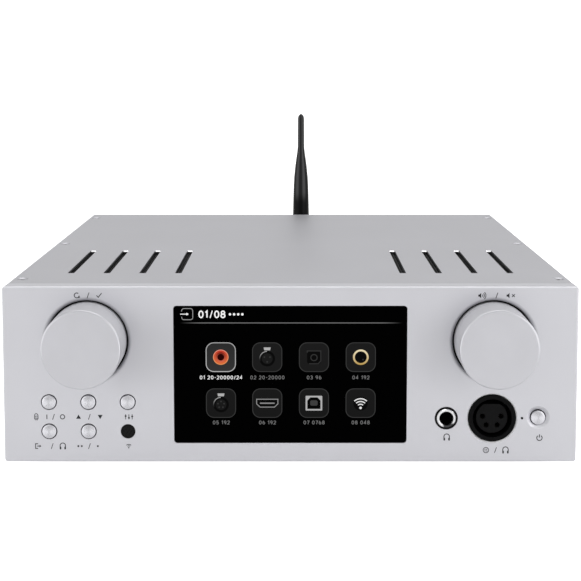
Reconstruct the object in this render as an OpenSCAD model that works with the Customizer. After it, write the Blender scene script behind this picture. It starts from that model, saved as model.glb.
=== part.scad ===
/* [Case] */
// Width of the front panel in mm
panel_w = 286; // [240:1:340]
// Height of the front panel in mm
panel_h = 89; // [86:0.5:100]
// Thickness of the front panel in mm
panel_t = 8; // [8:0.5:10]
// Depth from the front face to the rear face in mm
case_depth = 264; // [260:1:320]
// Sheet thickness of the top cover in mm
cover_t = 1.6; // [1.5:0.1:3]
// Width of one vent slot in mm
slot_w = 3.4; // [2:0.1:5]
// Length of one vent slot in mm
slot_len = 72; // [40:1:100]
// Spacing of the vent slots in mm
slot_pitch = 18.8; // [10:0.1:20]
// Height of the feet in mm
foot_h = 8; // [6:0.5:20]

/* [Front controls] */
// Diameter of the two knobs in mm
knob_d = 39; // [30:0.5:44]
// How far the knobs stand out of the panel in mm
knob_out = 18; // [12:0.5:30]
// Distance of each knob from the middle in mm
knob_x = 101; // [95:0.5:110]
// Diameter of the buttons in mm
button_d = 7.1; // [5:0.1:9]
// How far the buttons stand out of the panel in mm
button_out = 1; // [0.9:0.1:3]
// Travel of the buttons in mm
button_travel = 0.5; // [0.3:0.1:0.8]
// Width of the display window in mm
window_w = 116; // [100:0.5:117]
// Height of the display window in mm
window_h = 69.5; // [60:0.5:72]

/* [Antenna] */
// Height of the antenna's tip above the floor in mm
antenna_top = 168.3; // [130:0.1:220]
// Distance of the antenna's pivot behind the rear face in mm
antenna_back = 18; // [16:0.5:24]

/* [Hidden] */
$fn = 64;

// depths are counted back from the front face, heights up from the floor
knuckle_r = 6;
yf = -(case_depth + antenna_back + knuckle_r - knob_out) / 2;
top_z = foot_h + panel_h;
mid_z = foot_h + panel_h / 2;
cover_w = panel_w - 2;
floor_t = 2;
floor_z = foot_h + floor_t;
roof_z = top_z - cover_t;
rear_t = 2.5;
rear_d = case_depth;
screw_x = cover_w / 2 - 5;
screw_d = [20, 133, case_depth - 18];
rail_t = 3;
flange_t = 5;
flange_w = 9;
foot_x = 112;
foot_d = [45, 225];
knob_z = mid_z + 16.9;
knob_r = knob_d / 2;
recess_r = knob_r + 0.8;
recess_t = 4.2;
dome_r = 11;
dish_r = 12;
dish_w = 5.9;
row1_z = mid_z - 13.9;
row2_z = mid_z - 28.8;
socket_z = mid_z - 22.1;
col_x = [-knob_x - 19.35, -knob_x + 0.3, -knob_x + 19.95];
jack_x = 77.8;
bal_x = 100.7;
led_x = 115.6;
power_x = 123.6;
power_z = mid_z - 21.8;
board_d = panel_t + 8.2;
keys = [[col_x[0], row1_z], [col_x[1], row1_z], [col_x[2], row1_z], [col_x[0], row2_z], [col_x[1], row2_z], [power_x, power_z]];
xlr_f = [50, 80, 112];
xlr_m = [-80, -50];
xlr_z = 70;
rca_x = [-84, -62, 40, 66, 88];
rca_z = 31;
ant_x = 6.6;
ant_z = 64;
ant_d = rear_d + antenna_back;
pcb_z = floor_z + 6;
pcb_top = pcb_z + 1.6;
inlet_x = -116;
rocker_z = 68;
rocker_d = rear_d - 2.5;
toroid = [-78, 152];
standoffs = [[-120, 50], [-40, 50], [118, 50], [118, 246], [28, 246], [-92, 246], [-92, 212], [47, 104]];
tube_x = 87;
tube_d = 72;
pole4 = [172, 8, 234, 306];
pole3 = [150, 30, 270];

// ---- helpers
module frame() { translate([0, yf, 0]) children(); }
module rrect(w, h, r) {
  square([w - 2 * r, h], center = true);
  square([w, h - 2 * r], center = true);
  for (x = [-1, 1], y = [-1, 1]) translate([x * (w / 2 - r), y * (h / 2 - r)]) circle(r);
}
// a flat shape given as x and z, from depth d0 back to d1
module slab(d0, d1) { translate([0, d1, 0]) rotate([90, 0, 0]) linear_extrude(d1 - d0) children(); }
// a round bar along the depth
module bar(x, z, r, d0, d1) { translate([x, d0, z]) rotate([-90, 0, 0]) cylinder(h = d1 - d0, r = r); }
module taper(x, z, ra, rb, d0, d1) { translate([x, d0, z]) rotate([-90, 0, 0]) cylinder(h = d1 - d0, r1 = ra, r2 = rb); }
module block(x0, x1, d0, d1, z0, z1) { translate([x0, d0, z0]) cube([x1 - x0, d1 - d0, z1 - z0]); }
// a turned piece about an axis along the depth: points are [radius, depth]
module turned(x, z, pts) { translate([x, 0, z]) rotate([-90, 0, 0]) rotate_extrude() polygon(pts); }

module csk_screw() {
  difference() {
    union() {
      translate([0, 0, -1.5]) cylinder(h = 1, r1 = 1.55, r2 = 2.55);
      translate([0, 0, -10]) cylinder(h = 8.6, r = 1.5);
    }
    translate([0, 0, -1.4]) cylinder(h = 2, r = 1.15, $fn = 6);
  }
}
module csk_hole() {
  translate([0, 0, -1.5]) cylinder(h = 1.6, r1 = 1.7, r2 = 3.3);
  translate([0, 0, -4]) cylinder(h = 3, r = 1.65);
}
module pan_screw(l) {
  difference() {
    union() {
      cylinder(h = 1.3, r = 2.9);
      translate([0, 0, 1.3]) cylinder(h = 0.6, r1 = 2.9, r2 = 2.2);
      translate([0, 0, -l]) cylinder(h = l + 0.5, r = 1.5);
    }
    translate([0, 0, 0.8]) cylinder(h = 2, r = 1.15, $fn = 6);
  }
}
module case_screw_places() { for (s = [-1, 1], d = screw_d) translate([s * screw_x, d, 0]) children(); }

// ---- case
module panel_blank() {
  intersection() {
    slab(0, panel_t) translate([0, mid_z]) rrect(panel_w, panel_h, 2);
    translate([-panel_w, 0, 0]) rotate([90, 0, 90]) linear_extrude(2 * panel_w) polygon([[0, foot_h + 1.2], [0.35, foot_h + 0.35],
      [1.2, foot_h], [panel_t, foot_h], [panel_t, top_z], [1.2, top_z], [0.35, top_z - 0.35], [0, top_z - 1.2]]);
    linear_extrude(top_z + 10) polygon([[-panel_w / 2 + 1.2, 0], [-panel_w / 2 + 0.35, 0.35], [-panel_w / 2, 1.2],
      [-panel_w / 2, panel_t], [panel_w / 2, panel_t], [panel_w / 2, 1.2], [panel_w / 2 - 0.35, 0.35], [panel_w / 2 - 1.2, 0]]);
  }
}
module knob_recess(x) {
  turned(x, knob_z, [[0, -1], [recess_r + 1.5, -1], [recess_r + 1.5, 0], [recess_r + 0.75, 0.2], [recess_r + 0.2, 0.75],
    [recess_r, 1.5], [recess_r, recess_t], [0, recess_t]]);
  bar(x, knob_z, 4.7, 0, panel_t + 1);
}
module button_hole(p) {
  bar(p[0], p[1], button_d / 2 + 0.42, -1, panel_t + 1);
  bar(p[0], p[1], 5.2, 5.2, panel_t + 1);
}
module front_panel() color([0.80, 0.80, 0.82]) frame() difference() {
  panel_blank();
  slab(-1, panel_t) translate([0, mid_z]) rrect(window_w, window_h, 1.6);
  slab(2.5, panel_t + 1) translate([0, mid_z]) square([window_w + 6.6, window_h + 8], center = true);
  for (s = [-1, 1]) knob_recess(s * knob_x);
  for (p = keys) button_hole(p);
  translate([power_x, -sqrt(dish_r * dish_r - dish_w * dish_w), power_z]) sphere(dish_r);
  bar(col_x[2], row2_z, 3.65, -1, panel_t + 1);
  bar(col_x[2], row2_z, 4.7, 6, panel_t + 1);
  bar(led_x, socket_z, 0.6, -1, 3);
  bar(led_x, socket_z, 1.6, 2.1, panel_t + 1);
  bar(jack_x, socket_z, 5.75, -1, panel_t + 1);
  bar(bal_x, socket_z, 12.05, -1, panel_t + 1);
  taper(bal_x, socket_z, 12.75, 12.05, -0.1, 0.6);
  for (s = [-1, 1], z = [32, 73]) bar(s * 132, z, 1.55, 3, panel_t + 1);
  for (s = [-1, 1], z = [-24, 24]) bar(s * 65, mid_z + z, 1.55, 3, panel_t + 1);
}
module slot2d() { rrect(slot_w, slot_len, 0.8); }
module top_cover() color([0.73, 0.74, 0.76]) frame() difference() {
  intersection() {
    block(-cover_w / 2, cover_w / 2, panel_t + 0.1, rear_d, roof_z, top_z);
    rotate([-90, 0, 0]) mirror([0, 1, 0]) linear_extrude(rear_d + 10) polygon([[-cover_w / 2, 0], [cover_w / 2, 0], [cover_w / 2, top_z - 0.5],
      [cover_w / 2 - 0.5, top_z], [-cover_w / 2 + 0.5, top_z], [-cover_w / 2, top_z - 0.5]]);
    translate([-panel_w, 0, 0]) rotate([90, 0, 90]) linear_extrude(2 * panel_w) polygon([[0, 0], [rear_d, 0], [rear_d, top_z - 0.5], [rear_d - 0.5, top_z], [0, top_z]]);
  }
  for (s = [-1, 1], i = [0:3]) translate([s * (59 + i * slot_pitch), 36 + slot_len / 2, roof_z - 1]) linear_extrude(4) slot2d();
  translate([0, 0, top_z]) case_screw_places() csk_hole();
}
module bottom_plate() color([0.55, 0.56, 0.58]) frame() difference() {
  block(-cover_w / 2, cover_w / 2, panel_t + 0.1, rear_d, foot_h, floor_z);
  translate([0, 0, foot_h]) case_screw_places() mirror([0, 0, 1]) csk_hole();
  for (s = [-1, 1], i = [0:3]) translate([s * (40 + i * 14), 110, foot_h - 1]) linear_extrude(4) rrect(3.4, 60, 0.8);
  for (s = [-1, 1], d = foot_d) translate([s * foot_x, d, foot_h - 1]) cylinder(h = 4, r = 1.6);
  translate([toroid[0], toroid[1], foot_h - 1]) cylinder(h = 4, r = 3.05);
  for (p = standoffs) translate([p[0], p[1], foot_h - 1]) cylinder(h = 4, r = 1.5);
}
module side_rail(s) color([0.73, 0.74, 0.76]) frame() difference() {
  translate([0, panel_t + 0.05, 0]) mirror([s > 0 ? 1 : 0, 0, 0]) rotate([-90, 0, 0]) mirror([0, 1, 0]) linear_extrude(rear_d - rear_t - panel_t - 0.1)
    polygon([[-cover_w / 2, floor_z], [-cover_w / 2 + rail_t + flange_w, floor_z], [-cover_w / 2 + rail_t + flange_w, floor_z + flange_t],
      [-cover_w / 2 + rail_t, floor_z + flange_t], [-cover_w / 2 + rail_t, roof_z - flange_t], [-cover_w / 2 + rail_t + flange_w, roof_z - flange_t],
      [-cover_w / 2 + rail_t + flange_w, roof_z], [-cover_w / 2, roof_z]]);
  for (d = screw_d, z = [0, roof_z - flange_t - 1]) translate([s * screw_x, d, z]) cylinder(h = z == 0 ? floor_z + flange_t + 1 : flange_t + 3, r = 1.55);
  for (z = [floor_z + 2.5, roof_z - 2.5]) bar(s * 134.5, z, 1.55, rear_d - 15, rear_d);
  for (z = [38, 67]) translate([s * 136, panel_t + 11, z]) rotate([0, s * 90, 0]) cylinder(h = 5.6, r = 1.55);
}
module left_side_rail() side_rail(-1);
module right_side_rail() side_rail(1);
module rear_panel() color([0.73, 0.74, 0.76]) frame() difference() {
  block(-cover_w / 2, cover_w / 2, rear_d - rear_t, rear_d, floor_z, roof_z);
  for (s = [-1, 1], z = [floor_z + 2.5, roof_z - 2.5]) bar(s * 134.5, z, 1.6, rear_d - 5, rear_d + 1);
  block(inlet_x - 13.6, inlet_x + 13.6, rear_d - 5, rear_d + 1, 22.2, 81.8);
  for (x = concat(xlr_f, xlr_m)) {
    bar(x, xlr_z, 12.05, rear_d - 5, rear_d + 1);
    for (s = [-1, 1]) bar(x + s * 9.5, xlr_z + s * 12, 1.55, rear_d - 5, rear_d + 1);
  }
  for (x = rca_x) bar(x, rca_z, 4.1, rear_d - 5, rear_d + 1);
  block(-12.2, 0.2, rear_d - 5, rear_d + 1, pcb_top - 0.2, pcb_top + 11.2);
  block(-39.9, -24.1, rear_d - 5, rear_d + 1, pcb_top - 0.2, pcb_top + 6.4);
  block(10.8, 21.2, rear_d - 5, rear_d + 1, pcb_top - 0.2, pcb_top + 10.7);
  bar(ant_x, ant_z, 3.2, rear_d - 5, rear_d + 1);
}
module case_screws() color([0.6, 0.6, 0.62]) frame() {
  translate([0, 0, top_z]) case_screw_places() csk_screw();
  translate([0, 0, foot_h]) case_screw_places() mirror([0, 0, 1]) csk_screw();
}
module pan_head_screws() color([0.55, 0.55, 0.57]) frame() {
  for (s = [-1, 1], z = [floor_z + 2.5, roof_z - 2.5]) translate([s * 134.5, rear_d, z]) rotate([-90, 0, 0]) pan_screw(10);
  for (x = concat(xlr_f, xlr_m), s = [-1, 1]) translate([x + s * 9.5, rear_d + 2, xlr_z + s * 12]) rotate([-90, 0, 0]) pan_screw(7);
  for (s = [-1, 1], z = [32, 73]) translate([s * 132, panel_t + 2.05, z]) rotate([-90, 0, 0]) pan_screw(6.5);
  for (s = [-1, 1], z = [38, 67]) translate([s * 136.9, panel_t + 11, z]) rotate([0, -s * 90, 0]) pan_screw(4.5);
  for (s = [-1, 1], z = [-24, 24]) translate([s * 65, panel_t + 1.6, mid_z + z]) rotate([-90, 0, 0]) pan_screw(5.5);
  for (s = [-1, 1], d = foot_d) translate([s * foot_x, d, floor_z]) pan_screw(5);
}
module front_brackets() color([0.5, 0.5, 0.52]) frame() for (s = [-1, 1]) mirror([s > 0 ? 1 : 0, 0, 0]) difference() {
  union() {
    block(-138.9, -127, panel_t + 0.05, panel_t + 2.05, 25, 80);
    block(-138.9, -136.9, panel_t + 0.05, panel_t + 18, 25, 80);
  }
  for (z = [32, 73]) bar(-132, z, 1.6, panel_t - 1, panel_t + 4);
  for (z = [38, 67]) translate([-140, panel_t + 11, z]) rotate([0, 90, 0]) cylinder(h = 5, r = 1.6);
}
module feet() color([0.12, 0.12, 0.13]) frame() for (s = [-1, 1], d = foot_d) translate([s * foot_x, d, 0]) difference() {
  union() {
    translate([0, 0, 1]) cylinder(h = foot_h - 2, r1 = 14, r2 = 15);
    translate([0, 0, foot_h - 1.5]) cylinder(h = 1.5, r = 15);
  }
  cylinder(h = 3, r = 11.1);
  translate([0, 0, foot_h - 3.5]) cylinder(h = 5, r = 1.55);
}
module foot_pads() color([0.05, 0.05, 0.05]) frame() for (s = [-1, 1], d = foot_d) translate([s * foot_x, d, 0]) cylinder(h = 3, r = 11);

// ---- display
module display_glass() color([0.02, 0.02, 0.02]) frame() slab(0.5, 2.5) translate([0, mid_z]) rrect(window_w - 0.3, window_h - 0.3, 1.5);
module display_module() color([0.2, 0.2, 0.2]) frame() block(-window_w / 2 - 2.8, window_w / 2 + 2.8, 2.5, panel_t, mid_z - window_h / 2 - 3.5, mid_z + window_h / 2 + 3.5);
module display_bracket() color([0.5, 0.5, 0.52]) frame() difference() {
  block(-68.5, 68.5, panel_t, panel_t + 1.6, mid_z - 29, mid_z + 29);
  block(-45, 45, panel_t - 1, panel_t + 3, mid_z - 18, mid_z + 18);
  for (s = [-1, 1], z = [-24, 24]) bar(s * 65, mid_z + z, 1.6, panel_t - 1, panel_t + 3);
}

// ---- knobs
module knob(x) color([0.78, 0.78, 0.79]) frame() turned(x, knob_z, [[0, -knob_out], [knob_r - 0.9, -knob_out], [knob_r - 0.3, -knob_out + 0.25], [knob_r, -knob_out + 0.8],
  [knob_r, 3], [knob_r - 0.4, 3.4], [9, 3.4], [9, -3], [3.02, -3], [3.02, -13], [0, -13]]);
module scroll_knob() knob(-knob_x);
module volume_knob() knob(knob_x);
module shaft(x) color([0.6, 0.6, 0.62]) frame() bar(x, knob_z, 3, -12.9, panel_t + 4);
module scroll_shaft() shaft(-knob_x);
module volume_shaft() shaft(knob_x);
module plunger(x) color([0.85, 0.82, 0.7]) frame() {
  bar(x, knob_z, 2.8, panel_t + 4.05, panel_t + 6);
  bar(x, knob_z, 1, panel_t + 5.5, panel_t + 7.2);
}
module scroll_plunger() plunger(-knob_x);
module volume_plunger() plunger(knob_x);
module rotary_encoders() color([0.35, 0.35, 0.36]) frame() for (s = [-1, 1]) difference() {
  union() {
    block(s * knob_x - 7, s * knob_x + 7, panel_t + 0.05, panel_t + 8.1, knob_z - 7, knob_z + 7);
    bar(s * knob_x, knob_z, 4.45, 1.6, panel_t + 1);
  }
  bar(s * knob_x, knob_z, 3.06, 1, panel_t + 7);
  bar(s * knob_x, knob_z, 1.06, panel_t + 6, panel_t + 9);
}
module encoder_nuts() color([0.65, 0.65, 0.66]) frame() for (s = [-1, 1]) difference() {
  translate([s * knob_x, 2, knob_z]) rotate([-90, 0, 0]) cylinder(h = recess_t - 2, r = 6.35, $fn = 6);
  bar(s * knob_x, knob_z, 4.5, 1, recess_t + 1);
}

// ---- buttons
function dome(r) = dome_r - sqrt(dome_r * dome_r - r * r);
module button(i) color([0.80, 0.80, 0.82]) frame() turned(keys[i][0], keys[i][1], concat([for (k = [0:7]) let (r = k * (button_d / 2 - 0.35) / 7) [r, dome(r) - button_out]],
  [[button_d / 2 - 0.13, dome(button_d / 2 - 0.35) - button_out + 0.11], [button_d / 2, dome(button_d / 2 - 0.35) - button_out + 0.3],
  [button_d / 2, 5.5], [4.6, 5.5], [4.6, 6.7], [1.7, 6.7], [1.7, board_d - 2.5], [0, board_d - 2.5]]));
module tube_button() button(0);
module gain_button() button(1);
module setup_button() button(2);
module output_button() button(3);
module balance_button() button(4);
module power_button() button(5);
module key_switches() color([0.15, 0.15, 0.16]) frame() for (p = keys) difference() {
  block(p[0] - 3.1, p[0] + 3.1, board_d - 3.5, board_d, p[1] - 3.1, p[1] + 3.1);
  bar(p[0], p[1], 1.8, board_d - 4, board_d - 1);
}
module ir_window() color([0.04, 0.02, 0.03]) frame() turned(col_x[2], row2_z, [[0, 0.1], [3.45, 0.1], [3.6, 0.25], [3.6, 6.05], [4.6, 6.05], [4.6, 7.6], [0, 7.6]]);
module power_led() color([0.9, 0.9, 0.9, 0.8]) frame() turned(led_x, socket_z, [[0, 0.05], [0.55, 0.05], [0.55, 2.15], [1.5, 2.15], [1.5, board_d], [0, board_d]]);

// ---- front sockets
module headphone_jack() color([0.05, 0.05, 0.05]) frame() difference() {
  union() {
    turned(jack_x, socket_z, [[0, -0.3], [5.35, -0.3], [5.65, 0], [5.65, panel_t + 1], [0, panel_t + 1]]);
    block(jack_x - 8, jack_x + 8, panel_t + 0.05, 34, socket_z - 10, socket_z + 10);
  }
  bar(jack_x, socket_z, 4.8, -1, 10.05);
  bar(jack_x, socket_z, 3.6, 9, 33);
}
module headphone_jack_bush() color([0.82, 0.82, 0.83]) frame() turned(jack_x, socket_z, [[3.25, 0], [3.55, -0.55], [3.75, -0.65], [4.45, -0.65], [4.73, -0.35], [4.73, 10], [3.25, 10]]);
module balanced_socket_shell() color([0.06, 0.06, 0.06]) frame() difference() {
  union() {
    turned(bal_x, socket_z, [[0, -0.4], [11.5, -0.4], [11.9, 0], [11.9, panel_t + 1], [0, panel_t + 1]]);
    slab(panel_t + 0.05, panel_t + 2.3) translate([bal_x, socket_z]) square([26, 31], center = true);
    bar(bal_x, socket_z, 11, panel_t + 2, 30);
  }
  bar(bal_x, socket_z, 9.7, -1, 31);
}
// a female insert facing the front, its face at depth 0
module insert_f(angles) {
  difference() {
    union() {
      difference() {
        bar(0, 0, 7.9, 0, 15);
        block(-9, 9, -1, 14.8, 6.9, 10);
      }
      bar(0, 0, 9.65, 14.8, 27);
    }
    for (a = angles) bar(4.7 * cos(a), 4.7 * sin(a), 1.3, -1, 14);
  }
}
module sleeve() difference() {
  bar(0, 0, 1.25, 0, 11.9);
  bar(0, 0, 0.95, -1, 11);
}
module balanced_socket_insert() color([0.04, 0.04, 0.04]) frame() translate([bal_x, 1.2, socket_z]) insert_f(pole4);
// the rear sockets use the same pieces, turned to face the rear
module to_rear(x) { translate([x, rear_d, xlr_z]) rotate([0, 0, 180]) children(); }
module xlr_contacts() color([0.85, 0.7, 0.35]) frame() {
  for (a = pole4) translate([bal_x + 4.7 * cos(a), 3.2, socket_z + 4.7 * sin(a)]) sleeve();
  for (x = xlr_f, a = pole3) to_rear(x) translate([4.7 * cos(a), 0.5, 4.7 * sin(a)]) sleeve();
  for (x = xlr_m, a = pole3) to_rear(x) translate([4.7 * cos(a), 0, 4.7 * sin(a)]) turned(0, 0, [[0, 0], [0.7, 0], [1.18, 0.8], [1.18, 28], [0, 28]]);
}

// ---- boards and inside
module control_boards() color([0.05, 0.25, 0.12]) frame() {
  block(-126.5, -72.5, board_d, board_d + 1.6, 15, 82);
  block(72.5, 126.5, board_d, board_d + 1.6, 52, 86);
  block(114, 126.5, board_d, board_d + 1.6, 15, 53);
}
module main_board() color([0.05, 0.25, 0.12]) frame() difference() {
  union() {
    block(-126, 126, 44, 96, pcb_z, pcb_top);
    block(-30, 126, 90, 252, pcb_z, pcb_top);
    block(-98, -20, 206, 252, pcb_z, pcb_top);
  }
  for (p = standoffs) translate([p[0], p[1], pcb_z - 1]) cylinder(h = 4, r = 1.6);
}
module board_standoffs() color([0.85, 0.85, 0.8]) frame() for (p = standoffs) translate([p[0], p[1], 0]) {
  translate([0, 0, floor_z]) cylinder(h = 6, r = 3);
  translate([0, 0, floor_z - 1.8]) cylinder(h = 10, r = 1.45);
  translate([0, 0, pcb_top + 0.1]) cylinder(h = 2, r1 = 2, r2 = 1);
}
module mains_transformer() color([0.12, 0.12, 0.13]) frame() translate([toroid[0], toroid[1], floor_z + 0.1]) rotate_extrude() {
  translate([14, 8]) square([32, 24]);
  translate([22, 0]) square([16, 40]);
  for (x = [22, 38], y = [8, 32]) translate([x, y]) circle(8);
}
module transformer_clamp() color([0.6, 0.6, 0.62]) frame() translate([toroid[0], toroid[1], 0]) {
  difference() {
    translate([0, 0, floor_z + 40.2]) cylinder(h = 2, r = 26);
    translate([0, 0, floor_z + 39]) cylinder(h = 6, r = 3.1);
  }
  translate([0, 0, foot_h + 0.2]) cylinder(h = floor_t + 44, r = 3);
  translate([0, 0, floor_z + 42.25]) cylinder(h = 4, r = 5.7, $fn = 6);
}
module vacuum_tubes() color([0.85, 0.87, 0.9, 0.4]) frame() for (s = [-1, 1]) translate([s * tube_x, tube_d, pcb_top + 10.1]) rotate_extrude()
  polygon([[0, 0], [10.4, 0], [10.9, 1], [10.9, 40], [10.2, 43.5], [8.4, 46], [5.6, 47.8], [2.6, 48.8], [1.6, 51], [0.6, 52.5], [0, 52.8]]);
module tube_sockets() color([0.9, 0.88, 0.82]) frame() for (s = [-1, 1]) translate([s * tube_x, tube_d, pcb_top]) {
  cylinder(h = 10, r = 10);
  translate([0, 0, 7]) cylinder(h = 3, r = 12);
}
module heat_sink() {
  cube([80, 4, 44]);
  for (i = [0:9]) translate([i * 8.71, 3, 0]) cube([1.6, 17, 44]);
}
module heat_sinks() color([0.1, 0.1, 0.1]) frame() {
  translate([20, 120, pcb_top]) heat_sink();
  translate([20, 166, pcb_top]) heat_sink();
}
module capacitors() color([0.1, 0.12, 0.2]) frame() for (x = [-14, 8, 30], d = [64, 88]) translate([x, d, pcb_top]) {
  cylinder(h = 36, r = 9);
}

// ---- rear sockets
module iec_mouth() polygon([[-12.1, 4], [-8.1, 0], [8.1, 0], [12.1, 4], [12.1, 16.2], [-12.1, 16.2]]);
module mains_inlet() color([0.07, 0.07, 0.07]) frame() difference() {
  union() {
    slab(rear_d, rear_d + 2.5) translate([inlet_x, 52]) rrect(32, 65, 2);
    block(inlet_x - 13.4, inlet_x + 13.4, rear_d - 28, rear_d + 1, 22.5, 81.5);
  }
  slab(rear_d - 14.5, rear_d + 4) translate([inlet_x, 25]) iec_mouth();
  for (p = [[-7, 31.1], [7, 31.1], [0, 35.1]]) block(inlet_x + p[0] - 1.05, inlet_x + p[0] + 1.05, rear_d - 30, rear_d - 10, p[1] - 2.05, p[1] + 2.05);
  block(inlet_x - 11, inlet_x + 11, rear_d - 18, rear_d + 4, 44.5, 52.5);
  block(inlet_x - 7.1, inlet_x + 7.1, rear_d - 16, rear_d + 4, rocker_z - 11, rocker_z + 11);
  translate([inlet_x - 8.7, rocker_d, rocker_z]) rotate([0, 90, 0]) cylinder(h = 17.4, r = 1.56);
}
module mains_inlet_pins() color([0.8, 0.78, 0.7]) frame() for (p = [[-7, 31.1], [7, 31.1], [0, 35.1]])
  block(inlet_x + p[0] - 1, inlet_x + p[0] + 1, rear_d - 34, rear_d - 2.5, p[1] - 2, p[1] + 2);
module fuse_drawer() color([0.09, 0.09, 0.09]) frame() {
  block(inlet_x - 10.7, inlet_x + 10.7, rear_d - 17, rear_d + 3, 44.8, 52.2);
  difference() {
    block(inlet_x - 11.6, inlet_x + 11.6, rear_d + 2.8, rear_d + 4, 44.2, 52.8);
    block(inlet_x - 6, inlet_x + 6, rear_d + 3.4, rear_d + 5, 50.6, 54);
  }
}
// shown switched on, its upper half pressed in
module power_rocker() color([0.03, 0.03, 0.03]) frame() translate([inlet_x, rocker_d, rocker_z]) rotate([10, 0, 0]) {
  intersection() {
    translate([-6.8, 0, 0]) rotate([0, 90, 0]) cylinder(h = 13.6, r = 10.7);
    translate([-7, 0, 0]) rotate([90, 0, 90]) linear_extrude(14) polygon([[-5, -12], [5.9, -12], [5.7, -9], [4.2, 0], [5.7, 9], [5.9, 12], [-5, 12]]);
  }
  translate([-8.3, 0, 0]) rotate([0, 90, 0]) cylinder(h = 16.6, r = 1.5);
}
module rca_jacks() color([0.82, 0.68, 0.35]) frame() for (x = rca_x) difference() {
  turned(x, rca_z, [[0, rear_d - 16], [4, rear_d - 16], [4, rear_d], [6.5, rear_d], [6.5, rear_d + 2], [4.15, rear_d + 2.3], [4.15, rear_d + 11.3], [3.9, rear_d + 11.6], [0, rear_d + 11.6]]);
  bar(x, rca_z, 3.4, rear_d - 12, rear_d + 13);
}
module rca_insulators() color([0.9, 0.9, 0.88]) frame() for (x = rca_x) difference() {
  bar(x, rca_z, 3.36, rear_d - 11.9, rear_d + 11);
  bar(x, rca_z, 1.6, rear_d, rear_d + 12);
}
module xlr_shells() color([0.09, 0.09, 0.09]) frame() for (x = concat(xlr_f, xlr_m)) difference() {
  union() {
    slab(rear_d, rear_d + 2) translate([x, xlr_z]) rrect(26, 31, 2);
    turned(x, xlr_z, [[0, rear_d - 24], [11.9, rear_d - 24], [11.9, rear_d + 2.9], [11.5, rear_d + 3.2], [0, rear_d + 3.2]]);
  }
  bar(x, xlr_z, 9.7, rear_d - 25, rear_d + 4);
  for (s = [-1, 1]) bar(x + s * 9.5, xlr_z + s * 12, 1.6, rear_d - 1, rear_d + 3);
}
module xlr_inserts() color([0.04, 0.04, 0.04]) frame() {
  for (x = xlr_f) to_rear(x) translate([0, -1.5, 0]) intersection() {
    insert_f(pole3);
    bar(0, 0, 12, -1, 25.4);
  }
  for (x = xlr_m) to_rear(x) difference() {
    bar(0, 0, 9.65, 13, 23.9);
    for (a = pole3) bar(4.7 * cos(a), 4.7 * sin(a), 1.22, 12, 25);
  }
}
module usb_port() color([0.75, 0.75, 0.76]) frame() {
  difference() {
    block(-12, 0, rear_d - 16, rear_d + 0.4, pcb_top, pcb_top + 11);
    slab(rear_d - 9, rear_d + 1) translate([-6, pcb_top + 5.5]) polygon([[-4.2, -3.9], [4.2, -3.9], [4.2, 2.3], [2.6, 3.9], [-2.6, 3.9], [-4.2, 2.3]]);
  }
  block(-8.8, -3.2, rear_d - 9.5, rear_d - 1, pcb_top + 4, pcb_top + 7.2);
}
module hdmi_port() color([0.75, 0.75, 0.76]) frame() {
  difference() {
    block(-39.7, -24.3, rear_d - 13, rear_d + 0.4, pcb_top, pcb_top + 6.2);
    slab(rear_d - 9, rear_d + 1) translate([-32, pcb_top + 3.1]) polygon([[-5.2, -2.3], [5.2, -2.3], [7, -0.6], [7, 2.3], [-7, 2.3], [-7, -0.6]]);
  }
  block(-37.3, -26.7, rear_d - 9.5, rear_d - 1.2, pcb_top + 3.1, pcb_top + 4.2);
}
module optical_port() color([0.05, 0.05, 0.05]) frame() difference() {
  block(11, 21, rear_d - 18, rear_d + 0.4, pcb_top, pcb_top + 10.5);
  slab(rear_d - 9, rear_d + 1) translate([16, pcb_top + 5.2]) polygon([[-4.1, -4.1], [4.1, -4.1], [4.1, 2.6], [2.6, 4.1], [-2.6, 4.1], [-4.1, 2.6]]);
  bar(16, pcb_top + 5.2, 1.2, rear_d - 12, rear_d - 8);
}

// ---- antenna
module antenna_connector() color([0.82, 0.68, 0.35]) frame() {
  turned(ant_x, ant_z, [[0, rear_d - 14], [3.1, rear_d - 14], [3.1, rear_d - 6], [5, rear_d - 6], [5, rear_d - rear_t], [3.1, rear_d - rear_t], [3.1, rear_d + 8.5], [0, rear_d + 8.5]]);
  difference() {
    translate([ant_x, rear_d, ant_z]) rotate([-90, 0, 0]) cylinder(h = 2.2, r = 4.6, $fn = 6);
    bar(ant_x, ant_z, 3.15, rear_d - 1, rear_d + 3);
  }
}
module antenna_base() color([0.05, 0.05, 0.05]) frame() {
  difference() {
    union() {
      turned(ant_x, ant_z, [[0, rear_d + 2.6], [4.9, rear_d + 2.6], [5.4, rear_d + 3.1], [5.4, ant_d - 5], [0, ant_d - 5]]);
      for (s = [-1, 1]) translate([ant_x + s * 4.2 - 1, 0, 0]) {
        block(0, 2, ant_d - 8, ant_d, ant_z - knuckle_r, ant_z + knuckle_r);
        translate([0, ant_d, ant_z]) rotate([0, 90, 0]) cylinder(h = 2, r = knuckle_r);
      }
    }
    bar(ant_x, ant_z, 3.17, rear_d + 1, rear_d + 9);
  }
  translate([ant_x - 5, ant_d, ant_z]) rotate([0, 90, 0]) cylinder(h = 10, r = 1.5);
}
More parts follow.
